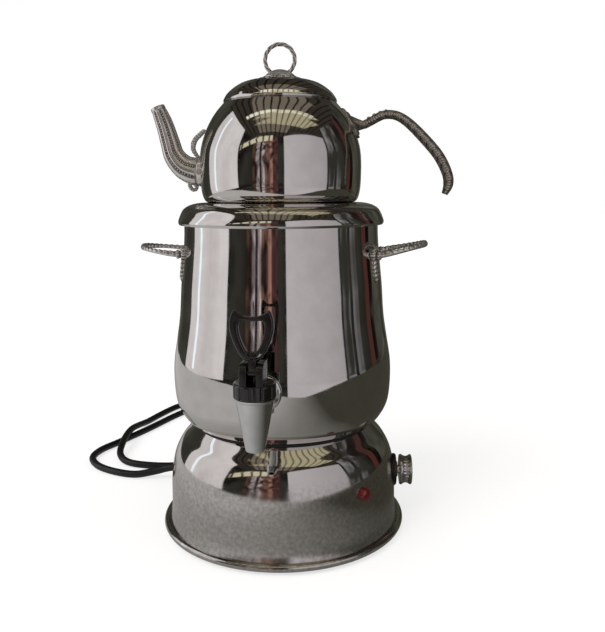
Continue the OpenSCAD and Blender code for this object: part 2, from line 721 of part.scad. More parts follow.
// Upward tilt of the wall's outward normal at the handle's root
root_slope = atan((pot_wall_r(handle_root_z - 4) - pot_wall_r(handle_root_z + 4)) / 8);
handle_stud_r = 1.6;
handle_stud_y = 5;
strainer_r = 1.7;

module stud_line(f)
    translate([sqrt(root_x * root_x - handle_stud_y * handle_stud_y), f * handle_stud_y, handle_root_z])
    rotate([0, 90 - root_slope, 0]) children();

module teapot_body() color(steel) difference() {
    union() {
        spun(pot_outline, pot_wall);
        translate([0, 0, pot_z]) cylinder(r = pot_floor_r, h = pot_wall);
        // Flat rim and turned down lip of the mouth
        translate([0, 0, mouth_z - pot_wall]) difference() {
            cylinder(r = shoulder_r, h = pot_wall);
            translate([0, 0, -1]) cylinder(r = mouth_r, h = 3);
        }
        translate([0, 0, mouth_z - 4]) difference() {
            cylinder(r = mouth_r + pot_wall, h = 4 - pot_wall / 2);
            translate([0, 0, -1]) cylinder(r = mouth_r, h = 6);
        }
    }
    // Strainer holes behind the spout
    translate([0, 0, spout_root_z]) rotate([0, -90, 0]) {
        cylinder(r = strainer_r, h = pot_r + 5);
        for (a = [0 : 60 : 300]) rotate([0, 0, a]) translate([6, 0, 0])
            cylinder(r = strainer_r, h = pot_r + 5);
    }
    for (f = [-1, 1]) stud_line(f) translate([0, 0, -10]) cylinder(r = handle_stud_r, h = 20);
}

// Fluted swan neck spout, swept along a curve in the XZ plane
spout_sides = 32;
spout_path = smooth([for (p = [[0, 0], [0.175, 0.009], [0.433, 0.081], [0.64, 0.243], [0.735, 0.459],
    [0.807, 0.64], [0.884, 0.802], [1, 1]])
    [-pot_wall_r(spout_root_z) - spout_reach * p[0], 0, spout_root_z + spout_rise * p[1]]], 3);
spout_sizes = smooth([for (k = [1, 0.93, 0.72, 0.5, 0.375, 0.28, 0.19, 0])
    [spout_tip_r + (spout_root_r - spout_tip_r) * k, 0]], 3);
flute_depth = 0.9;
function bore_r(size) = size[0] - flute_depth - spout_wall;
function fluted(r) = [for (k = [0 : spout_sides - 1]) let (a = 360 * k / spout_sides)
    (r - flute_depth * (0.5 - 0.5 * cos(flutes * a))) * [cos(a), sin(a)]];
// Moves a ring's points along X on to the outside of the teapot's wall
function on_wall(points) = [for (q = points) [-sqrt(pow(pot_wall_r(q[2]), 2) - pow(q[1], 2)), q[1], q[2]]];
function seated(rings) = concat([on_wall(rings[0])], [for (i = [1 : len(rings) - 1]) rings[i]]);

// Scroll above the spout's root and bud below it: [out from the wall, up from the root, radius]
scroll = [[-4.2, 34.2, 1.8], [1.5, 31.2, 2.3], [6.2, 27.4, 2.4], [8.2, 20.7, 2.3], [6, 15.6, 2],
    [2.6, 11.8, 1.6]];
bud = [[12.4, -8.8, 1.6], [11.8, -12.5, 2], [9.4, -15.3, 1.9], [6.3, -14.8, 1.6], [4.6, -12, 1.1]];
function branch_rings(points) = let (p = smooth(points, 2))
    sweep_rings(
        [for (q = p) [-pot_wall_r(spout_root_z) - q[0], 0, spout_root_z + q[1]]],
        [for (q = p) oval(q[2], q[2], 8)],
        [0, 1, 0]);

module teapot_spout() color(cast) {
    outer = sweep_rings(spout_path, [for (s = spout_sizes) fluted(s[0])], [0, 1, 0]);
    bores = [for (s = spout_sizes) oval(bore_r(s), bore_r(s), spout_sides)];
    inner = sweep_rings(spout_path, bores, [0, 1, 0]);
    pipe_skin(seated(outer), seated(inner));
    skin(seated(branch_rings(scroll)));
    skin(branch_rings(bud));
}

// Open ended swan handle: a lobed plate on the teapot's shoulder that draws in to an oval bar
handle_sides = 24;
handle_drop = 55.3;
plate_half_w = 11;
plate_half_h = 12.5;
plate_lift = 4;                      // height of the plate's middle above the bar's root
handle_path = smooth([for (p = [[0.115, 0.05], [0.185, 0.1], [0.31, 0.185], [0.44, 0.176], [0.567, 0.07],
    [0.733, -0.16], [0.893, -0.43], [0.984, -0.687], [1, -0.855], [0.964, -1]])
    [root_x + handle_reach * p[0], 0, handle_root_z + handle_drop * p[1]]], 3);
handle_sizes = smooth([for (t = [3.6, 3.6, 3.7, 3.8, 4.1, 4.4, 4.5, 4.4, 4.2, 2.6]) [t, 0]], 3);
// Lobed ring that follows the wall, out along X by t
function plate_ring(t, scale) = [for (k = [0 : handle_sides - 1])
    let (a = 360 * k / handle_sides, lobe = scale * (1 + 0.07 * cos(6 * a)),
        y = plate_half_w * lobe * cos(a), z = handle_root_z + plate_lift + plate_half_h * lobe * sin(a))
    [sqrt(pow(pot_wall_r(z), 2) - y * y) + t, y, z]];
function bar_ring(size) =
    oval(handle_half_w * min(1, size / 3.6), size, handle_sides);

module teapot_handle() color(cast) {
    skin(concat(
        [for (k = [0.05 : 0.19 : 1]) plate_ring(seat_gap, k)],
        [plate_ring(seat_gap, 1), plate_ring(2, 1), plate_ring(3.4, 0.8)],
        sweep_rings(handle_path, [for (s = handle_sizes) bar_ring(s[0])], [0, 1, 0])));
    // Threaded studs through the wall
    for (f = [-1, 1]) stud_line(f) translate([0, 0, -pot_wall - 3])
        cylinder(r = handle_stud_r, h = pot_wall + 4.2);
}

module handle_nuts() color(satin) for (f = [-1, 1]) stud_line(f) difference() {
    translate([0, 0, -pot_wall - 2.4]) cylinder(r = 3, h = 2.4 - nut_gap, $fn = 6);
    translate([0, 0, -pot_wall - 4]) cylinder(r = handle_stud_r, h = 8);
}

// ---- Teapot lid ----

lid_r = mouth_r + lid_rim;
flange_r = 19;
flange_t = 2;
boss_top_r = grip_r;
boss_h = 7;
knob_base_z = dome_z + flange_t;
lid_outline = smooth(concat(
    [[lid_r, mouth_z + 0.4], [lid_r, mouth_z + 1.6]],
    [for (p = [[0.97, 0.16], [0.91, 0.32], [0.8, 0.5], [0.66, 0.67], [0.5, 0.82], [0.3, 0.93], [0.1, 0.985]])
        [flange_r + (lid_r - flange_r) * p[0], mouth_z + dome_h * p[1]]],
    [[flange_r, dome_z]]), 3);
hole_r = screw_r + 0.1;

module teapot_lid() color(steel) difference() {
    union() {
        spun(concat(lid_outline, [[flange_r - 1, dome_z], [0, dome_z]]), pot_wall);
        // Flat rim that lies on the mouth
        translate([0, 0, mouth_z]) difference() {
            cylinder(r = lid_r - 0.2, h = pot_wall);
            translate([0, 0, -1]) cylinder(r = skirt_r - pot_wall, h = 3);
        }
    }
    translate([0, 0, dome_z - 5]) cylinder(r = hole_r, h = 10);
}

// Ring welded under the rim, which keeps the lid in the mouth
skirt_r = mouth_r - slide_gap;
module skirt_ring() color(steel) translate([0, 0, mouth_z - lid_skirt]) linear_extrude(lid_skirt)
    difference() {
        circle(skirt_r);
        circle(skirt_r - pot_wall);
    }

module lid_flange() color(cast) translate([0, 0, dome_z]) rotate_extrude() polygon([
    [hole_r, 0], [flange_r - 0.5, 0], [flange_r, 0.6], [flange_r - 0.8, 1.4], [flange_r - 3, flange_t],
    [hole_r, flange_t]]);

// Domed boss and the ring grip that stands on it, one casting
module lid_knob() color(cast) {
    cap_r = (boss_top_r * boss_top_r + boss_h * boss_h) / (2 * boss_h);
    bend_r = grip_r - grip_d / 2;
    difference() {
        union() {
            intersection() {
                translate([0, 0, knob_base_z + boss_h - cap_r]) sphere(cap_r);
                translate([0, 0, knob_base_z]) cylinder(r = boss_top_r, h = boss_h + 1);
            }
            translate([0, 0, knob_base_z + boss_h + 0.61 * bend_r]) rotate([90, 0, 0]) rotate([0, 0, -58])
                rotate_extrude(angle = 296) translate([bend_r, 0]) circle(d = grip_d, $fn = 24);
        }
        translate([0, 0, knob_base_z - 1]) cylinder(r = screw_r, h = 6);
    }
}

module lid_screw() color(satin) {
    translate([0, 0, dome_z - pot_wall - 1]) cylinder(r = screw_r, h = pot_wall + 1 + flange_t + 4.8);
    translate([0, 0, dome_z - pot_wall - 2.2]) cylinder(r1 = 3.4, r2 = 4, h = 2.2);
}

// ---- Controls ----

function base_wall_r(z) = radius_at(base_outline, z);
knob_out = base_wall_r(knob_z);
knob_in = knob_out - base_wall;
dial_t = 1.8;
bush_nut_t = 1.5;
bush_end = knob_out + dial_t + bush_nut_t;
shaft_r = 3;
shaft_in = 12;                       // how far the shaft reaches inside the base's wall
body_depth = 20;
body_front = knob_in - 2.8;
thermostat_back = body_front - body_depth;

module thermostat_body() color(black) difference() {
    union() {
        outward(knob_turn, thermostat_back, knob_z) translate([-13, -16, 0]) cube([26, 32, body_depth]);
        intersection() {
            outward(knob_turn, body_front - 1, knob_z) cylinder(r = 9, h = 10);
            filled(inset(base_outline, base_wall));
        }
        outward(knob_turn, body_front, knob_z) cylinder(r = bush_r, h = bush_end - body_front);
    }
    outward(knob_turn, knob_in - shaft_in, knob_z) cylinder(r = shaft_r + run_gap, h = 40);
}

module thermostat_nut() color(satin) difference() {
    outward(knob_turn, knob_out + dial_t, knob_z) cylinder(r = bush_r + 2.6, h = bush_nut_t, $fn = 6);
    outward(knob_turn, knob_out, knob_z) cylinder(r = bush_r, h = 10);
}

module thermostat_shaft() color(steel)
    outward(knob_turn, knob_in - shaft_in + 0.2, knob_z)
        cylinder(r = shaft_r, h = bush_end + 0.5 * knob_len - knob_in + shaft_in);

// Round dial whose back is curved to the base
module dial_plate() color(black) difference() {
    outward(knob_turn, knob_out - 3, knob_z) cylinder(r = dial_r, h = dial_t + 3);
    outward(knob_turn, knob_out - 5, knob_z) cylinder(r = bush_r + 0.05, h = 20);
    cylinder(r = base_wall_r(knob_z - dial_r), h = base_h, $fn = 256);
}

module control_knob() color(steel) difference() {
    union() {
        outward(knob_turn, bush_end + 0.3, knob_z) cylinder(r = 4, h = 3);
        outward(knob_turn, bush_end + 1.8, knob_z) rotate_extrude() polygon([
            [0, 0], [knob_r - 1, 0], [knob_r, 1], [knob_r, knob_len - 2], [knob_r - 1.6, knob_len],
            [knob_r - 3, knob_len - 0.7], [0, knob_len - 0.7]]);
    }
    outward(knob_turn, bush_end - 5, knob_z) cylinder(r = shaft_r, h = 5.2 + 0.5 * knob_len);
    // Pointer groove along the knob's top
    outward(knob_turn, bush_end, knob_z) translate([-knob_r - 1, -0.6, -1]) cube([1.8, 1.2, knob_len + 10]);
}

lamp_out = base_wall_r(lamp_z);
lamp_in = lamp_out - base_wall;

module pilot_lens() color(red) {
    outward(lamp_turn, lamp_in - 0.4, lamp_z) cylinder(r = lamp_stem_r, h = base_wall + 1);
    difference() {
        outward(lamp_turn, lamp_out - 2, lamp_z) rotate_extrude() polygon(concat(
            [[0, 0], [lamp_r, 0], [lamp_r, 2.8]],
            [for (a = [15 : 15 : 75]) [(lamp_r - 0.3) * cos(a), 2.8 + 2.6 * sin(a)]], [[0, 5.4]]));
        filled(base_outline);
    }
}

module lamp_body() color(black) {
    difference() {
        intersection() {
            outward(lamp_turn, lamp_in - 18, lamp_z) cylinder(r = lamp_r + 1, h = 30);
            filled(inset(base_outline, base_wall));
        }
        outward(lamp_turn, lamp_in - 0.4, lamp_z) cylinder(r = lamp_stem_r, h = 10);
    }
    // Connector blades
    outward(lamp_turn, lamp_in - 24, lamp_z) for (s = [-1, 1])
        translate([-2.4, 2.5 * s - 0.4, 0]) cube([4.8, 0.8, 6.5]);
}

// Sensing bulb under the urn's floor with its capillary tube to the thermostat
bulb_x = 36;
bulb_r = 3;
bulb_z = urn_z - bulb_r - 0.05;
bulb_len = 50;
bulb_end = [bulb_x, bulb_len / 2 + 6, bulb_z];
function polar(turn, r, z) = [r * cos(turn), r * sin(turn), z];
// Point behind the thermostat's back: sideways and up by at, then back by gap
function thermostat_point(at, gap) = polar(knob_turn, thermostat_back - gap, knob_z + at[1])
    + polar(knob_turn + 90, at[0], 0);
capillary_start = thermostat_point([0, 8], 0.05);
module sensor_tube() color(satin) {
    tube(straight_ended([capillary_start, capillary_start + [-2, 0, 0], capillary_start + [-8, 3, 2],
        between(capillary_start, bulb_end, 0.5) + [-3, 3, -7],
        between(capillary_start, bulb_end, 0.8) + [2, 8, -3],
        bulb_end + [2, 5, -2], bulb_end, bulb_end - [0, 4, 0], bulb_end - [0, 7, 0]], 3), 1, 8);
    translate([bulb_x, -bulb_len / 2, bulb_z]) rotate([-90, 0, 0]) cylinder(r = bulb_r, h = bulb_len);
}

module sensor_clip() color(satin) translate([bulb_x, 4, urn_z]) rotate([90, 0, 0])
    linear_extrude(8) difference() {
    union() {
        translate([-10, -1]) square([20, 1]);
        translate([-bulb_r - 1, bulb_z - urn_z]) square([2 * bulb_r + 2, urn_z - bulb_z]);
        translate([0, bulb_z - urn_z]) circle(bulb_r + 1);
    }
    translate([0, bulb_z - urn_z]) circle(bulb_r + 0.05);
    translate([-bulb_r - 0.05, bulb_z - urn_z]) square([2 * bulb_r + 0.1, bulb_r + 1]);
}

block = [16, 30, 14];
block_at = [29.5 - base_r, -block[1] / 2, plate_top];
module terminal_block() color("#e8e4d8") difference() {
    translate(block_at) cube(block);
    for (k = [-1 : 1]) translate(block_at + [block[0] / 2, block[1] / 2 + 9 * k, 4]) cylinder(r = 2, h = 20);
}

// Insulated leads inside the base
lead_r = 1.4;
block_side = block_at + [block[0] / 2, 0, 6];
lead_ring = base_r - 25;             // how far from the axis the leads lie against the wall
end_gap = 0.1;
module lead(points, r = lead_r) tube(straight_ended(points, 2), r, r > 2 ? 8 : 6);

// The cord's inner end and the leads to the thermostat, the element's two legs and the lamp
module inner_wiring() color(black) {
    jacket = relief_out - base_wall - 2 - end_gap;
    far = block[1] + end_gap;
    low_leg = urn_z - leg_low - blade[2];
    lead([polar(relief_turn, jacket, relief_z), polar(relief_turn, jacket - 4, relief_z),
        block_side + [-3, far + 14, 0], block_side + [0, far + 4, 0], block_side + [0, far, 0]], 2.6);
    lead(concat([block_side - [0, end_gap, 0], block_side - [0, 4, 0]],
        [for (k = [0 : 4]) polar(-132 + 28.5 * k, lead_ring, 20 + 5.5 * k)],
        [thermostat_point([-6, -5], 4), thermostat_point([-6, -5], end_gap)]));
    left_start = block_side + [5, far, 4];
    left_end = [leg_x, leg_y, low_leg];
    lead([left_start, left_start + [0, 4, 0], between(left_start, left_end, 0.35) + [0, 4, 0],
        between(left_start, left_end, 0.85) + [0, 2, -4], left_end - [0, 0, 4], left_end - [0, 0, end_gap]]);
    right_start = thermostat_point([10, 0], end_gap);
    right_end = [-leg_x, leg_y, low_leg];
    lead([right_start, thermostat_point([10, 0], 5), between(right_start, right_end, 0.5) + [0, -4, -4],
        between(right_start, right_end, 0.9) + [0, 0, -8], right_end - [0, 0, 4],
        right_end - [0, 0, end_gap]]);
    lamp_end = lamp_in - 24 - end_gap;
    lead([polar(lamp_turn, lamp_end, lamp_z), polar(lamp_turn, lamp_end - 6, lamp_z),
        between(polar(lamp_turn, lamp_end - 6, lamp_z), thermostat_point([-10, 2], 6), 0.5) + [0, -3, 0],
        thermostat_point([-10, 2], 6), thermostat_point([-10, 2], end_gap)]);
}

// ---- Cord and plug ----

relief_out = base_wall_r(relief_z);
relief_tip_r = cord_d / 2 + 0.9;
ribs = 5;
module strain_relief() color(rubber) {
    // Tapered sleeve with moulded ribs
    outward(relief_turn, relief_out, relief_z) rotate_extrude() polygon(concat(
        [[0, -base_wall - 2], [relief_r, -base_wall - 2], [relief_r, 2]],
        [for (k = [0 : ribs - 1]) let (z = 2 + (relief_len - 4) * k / ribs, step = (relief_len - 4) / ribs,
            r = relief_r + (relief_tip_r - relief_r) * k / ribs)
            each [[r, z + 0.1], [r, z + 0.55 * step], [r - 0.8, z + 0.6 * step], [r - 0.8, z + 0.95 * step]]],
        [[relief_tip_r, relief_len - 1.9], [relief_tip_r, relief_len], [0, relief_len]]));
    // Collar that holds it inside the wall
    intersection() {
        outward(relief_turn, relief_out - base_wall - 2, relief_z) cylinder(r = relief_r + 1.2, h = 6);
        filled(inset(base_outline, base_wall));
    }
}

cord_low = cord_d / 2 + 0.1;         // height of the cord's middle where it lies on the table
cord_start = relief_out + relief_len;
straight = 4;                        // straight length of cord at each end
plug_r = 18.5;
plug_start = [8, 342, plug_r];
plug_len = 54;
// Out of the base, round an outer loop at the left, behind the urn, back through an
// inner loop that crosses over the outer one, and on to the plug behind the urn
cord_route = concat([polar(relief_turn, cord_start + straight, relief_z)], [
    [-121, 68.9, relief_z - 1.2], [-135, 71.5, 12.4], [-151, 72, 7.6], [-172, 71, cord_low],
    [-198, 77, cord_low], [-221, 91, cord_low], [-236, 113, cord_low], [-236, 138, cord_low],
    [-225, 166, cord_low], [-206, 217, cord_low], [-186, 279, cord_low], [-170, 308, cord_low],
    [-142, 320, cord_low], [-96, 316, cord_low], [-40, 302, cord_low], [16, 286, cord_low],
    [62, 258, cord_low], [84, 214, cord_low], [66, 172, cord_low], [16, 150, cord_low],
    [-42, 138, cord_low], [-92, 114, cord_low], [-138, 99, cord_low], [-170, 98, cord_low],
    [-193, 105, 4.3], [-207, 122, 6.5], [-213, 146, 10.6], [-216.5, 170, 12.6], [-218.5, 194, 11.8],
    [-218.5, 218, 8.2], [-216, 244, 4.6], [-209, 278, cord_low], [-198, 312, cord_low],
    [-180, 340, cord_low], [-152, 353, cord_low], [-110, 353, cord_low], [-70, 348, 5.5],
    [-35, 344, 13], [-12, 342, plug_r - 0.6]], [plug_start - [straight, 0, 0]]);

module power_cord() color(black)
    tube(concat([polar(relief_turn, cord_start, relief_z)], smooth(cord_route, 2), [plug_start]),
        cord_d / 2, 10);

// Least gap between the cord and itself where its loops cross
cord_fine = smooth(cord_route, 8);
echo(cord_gap = min([for (i = [0 : len(cord_fine) - 40], j = [i + 20 : len(cord_fine) - 1])
    norm(cord_fine[i] - cord_fine[j])]) - cord_d);

pin_out = 9.5;                       // from the plug's axis to each pin
earth_in = plug_r - 3.7;             // from the plug's axis to the floor of an earth recess
module in_plug() translate(plug_start) rotate([0, 90, 0]) children();

module plug() color(black) in_plug() difference() {
    rotate_extrude() polygon([
        [0, 0], [5.4, 0], [5.8, 4], [5.2, 4.6], [6, 8.6], [5.4, 9.2], [6.4, 14], [9, 19], [14.5, 25],
        [17.2, 32], [plug_r, 37], [plug_r, plug_len - 1], [plug_r - 1, plug_len], [0, plug_len]]);
    for (a = [0, 180]) rotate([0, 0, a]) translate([earth_in, -4, plug_len - 14]) cube([5, 8, 20]);
    for (s = [-1, 1]) translate([0, pin_out * s, plug_len - 8]) cylinder(r = 2, h = 10);
}

module plug_pins() color(satin) in_plug() for (s = [-1, 1]) translate([0, pin_out * s, 0]) {
    translate([0, 0, plug_len - 7.8]) cylinder(r = 2, h = 8);
    translate([0, 0, plug_len]) cylinder(r = 2.4, h = 19);
}

// Earth strips on the floors of the two recesses
module plug_earth() color(brass) in_plug() for (a = [0, 180]) rotate([0, 0, a])
    translate([earth_in, -3, plug_len - 14]) cube([1, 6, 13]);

base_shell();
base_plate();
foot_ring();
tie_studs();
tie_nuts();
seat_gasket();
urn();
heating_element();
element_gaskets();
element_nuts();
left_handle();
right_handle();
handle_screws();
tap_body();
tap_shank();
tap_plate();
tap_gasket();
tap_nut();
tap_bonnet();
tap_stem();
seat_cup();
tap_spring();
lever_pin();
tap_lever();
ring_lid();
teapot_body();
teapot_spout();
teapot_handle();
handle_nuts();
teapot_lid();
skirt_ring();
lid_flange();
lid_knob();
lid_screw();
thermostat_body();
thermostat_nut();
thermostat_shaft();
dial_plate();
control_knob();
pilot_lens();
lamp_body();
sensor_tube();
sensor_clip();
terminal_block();
inner_wiring();
strain_relief();
power_cord();
plug();
plug_pins();
plug_earth();
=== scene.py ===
"""Dresses the samovar's CAD frame in its real steels, castings, plastics and rubbers.

The pieces' sizes are in millimetres until a mesh is made, and the studio's are in metres.
+Z is up and the tap faces -Y.
"""

import logging
import math
from dataclasses import dataclass
from enum import Enum
from typing import Callable, Sequence

import bmesh
import bpy
import numpy as np
from mathutils import Matrix, Vector


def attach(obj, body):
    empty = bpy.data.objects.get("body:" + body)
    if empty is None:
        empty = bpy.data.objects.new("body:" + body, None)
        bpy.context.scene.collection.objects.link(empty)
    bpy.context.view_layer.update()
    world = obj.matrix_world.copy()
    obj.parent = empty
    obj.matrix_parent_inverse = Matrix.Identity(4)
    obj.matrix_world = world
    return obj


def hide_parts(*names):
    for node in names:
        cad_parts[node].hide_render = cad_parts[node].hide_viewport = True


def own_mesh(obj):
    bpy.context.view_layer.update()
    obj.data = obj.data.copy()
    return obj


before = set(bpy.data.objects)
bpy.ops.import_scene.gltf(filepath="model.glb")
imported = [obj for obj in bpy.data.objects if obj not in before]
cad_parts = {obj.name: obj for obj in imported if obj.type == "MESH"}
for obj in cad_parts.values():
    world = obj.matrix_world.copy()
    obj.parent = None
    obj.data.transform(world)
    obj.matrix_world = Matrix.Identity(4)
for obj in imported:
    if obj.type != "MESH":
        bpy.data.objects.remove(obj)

LOG = logging.getLogger("samovar")
MM = 0.001
Array = np.ndarray
Tree = bpy.types.NodeTree
Socket = bpy.types.NodeSocket


# ---- Curves ----


def smooth_curve(points: Sequence[Sequence[float]], steps: int) -> Array:
    """Runs a smooth curve through points.

    Args:
        points: The points, of any number of coordinates each.
        steps: How many pieces each gap between neighbours is cut into.

    Returns:
        One row per point of the curve.
    """
    p = np.asarray(points, float)
    rows = []
    for i in range(len(p) - 1):
        a, b, c, d = p[max(i - 1, 0)], p[i], p[i + 1], p[min(i + 2, len(p) - 1)]
        for t in np.arange(steps) / steps:
            square = (2 * a - 5 * b + 4 * c - d) * t * t
            cube = (3 * b - a - 3 * c + d) * t**3
            rows.append(0.5 * (2 * b + (c - a) * t + square + cube))
    return np.array([*rows, p[-1]])


def run_along(path: Array) -> Array:
    """Returns how far along a path each of its points lies."""
    return np.concatenate([[0], np.cumsum(np.linalg.norm(np.diff(path, axis=0), axis=1))])


def even(points: Array, spacing: float) -> Array:
    """Spaces the points of a line evenly.

    Args:
        points: The line's points.
        spacing: About how far apart the new ones are.

    Returns:
        The same line in evenly spaced points.
    """
    run = run_along(points)
    at = np.linspace(0, run[-1], max(3, int(round(run[-1] / spacing)) + 1))
    return np.stack([np.interp(at, run, points[:, k]) for k in range(points.shape[1])], axis=1)


def faired(points: Sequence[Sequence[float]], spacing: float = 0.9, rounds: int = 12) -> Array:
    """Smooths an outline until a mirror finish shows no kinks in it.

    Args:
        points: The outline's points, as radius and height.
        spacing: Distance between the points that come back.
        rounds: How often each point is drawn towards its neighbours.

    Returns:
        The faired outline, with its two ends where they were.
    """
    line = even(smooth_curve(points, 12), spacing)
    for _ in range(rounds):
        line[1:-1] = 0.25 * line[:-2] + 0.5 * line[1:-1] + 0.25 * line[2:]
    return line


def headings(path: Array) -> Array:
    """Finds which way a path runs.

    Args:
        path: The path's points.

    Returns:
        The unit direction at each point.
    """
    ahead = np.vstack([path[1:], path[-1:]])
    behind = np.vstack([path[:1], path[:-1]])
    step = ahead - behind
    return step / np.linalg.norm(step, axis=1, keepdims=True)


def inset(outline: Array, wall: float) -> Array:
    """Returns an outline moved to its left by the wall's thickness."""
    d = headings(outline)
    return outline + wall * np.stack([-d[:, 1], d[:, 0]], axis=1)


def sheet_loop(outline: Array, wall: float) -> Array:
    """Returns the closed section of sheet metal with that outside."""
    return np.vstack([outline, inset(outline, wall)[::-1]])


def box_loop(r0: float, r1: float, z0: float, z1: float) -> Array:
    """Returns the closed section of a flat ring."""
    return np.array([[r0, z0], [r1, z0], [r1, z1], [r0, z1]], float)


def oval(a: float, b: float, sides: int) -> Array:
    """Returns the points of an oval."""
    t = 2 * math.pi * np.arange(sides) / sides
    return np.stack([a * np.cos(t), b * np.sin(t)], axis=1)


def quarter_oval(middle: Sequence[float], wide: float, high: float, count: int) -> list[list[float]]:
    """Returns the points of a quarter of an oval, from its side to its top."""
    turns = np.linspace(0, math.pi / 2, count)
    return [[middle[0] + wide * math.cos(a), middle[1] + high * math.sin(a)] for a in turns]


def carried_sides(path: Array, side: Sequence[float]) -> tuple[Array, Array]:
    """Carries a side direction along a path without twisting it.

    Args:
        path: The path's points.
        side: The side direction at the path's start.

    Returns:
        The side and the up direction at each point.
    """
    along = headings(path)
    sides = []
    current = np.asarray(side, float)
    for d in along:
        current = current - current.dot(d) * d
        current = current / np.linalg.norm(current)
        sides.append(current)
    return np.array(sides), np.cross(along, np.array(sides))


def swept(path: Array, shapes: Sequence[Array], side: Sequence[float] = (0, 0, 1)) -> Array:
    """Returns rings of points along a path, one flat shape for each path point."""
    sides, ups = carried_sides(path, side)
    return np.array(
        [c + q[:, :1] * s + q[:, 1:] * u for c, q, s, u in zip(path, shapes, sides, ups)]
    )


def polar(turn: float, radius: float, z: float) -> list[float]:
    """Returns the point at a direction in degrees from +X, a radius and a height."""
    a = math.radians(turn)
    return [radius * math.cos(a), radius * math.sin(a), z]


def quarter_turn(axis: str) -> Matrix:
    """Returns a quarter turn about an axis."""
    return Matrix.Rotation(math.radians(90), 4, axis)


def outward(turn: float, radius: float, z: float) -> Matrix:
    """Returns the placement that turns a thing made along +Z to point out from the axis."""
    return (
        Matrix.Rotation(math.radians(turn), 4, "Z")
        @ Matrix.Translation((radius, 0, z))
        @ quarter_turn("Y")
    )


# ---- Meshes ----

Carve = Callable[..., tuple]


def wave(phase: Array) -> Array:
    """Returns a smooth wave between 0 and 1, at 0 where the phase is whole."""
    return 0.5 - 0.5 * np.cos(2 * math.pi * phase)


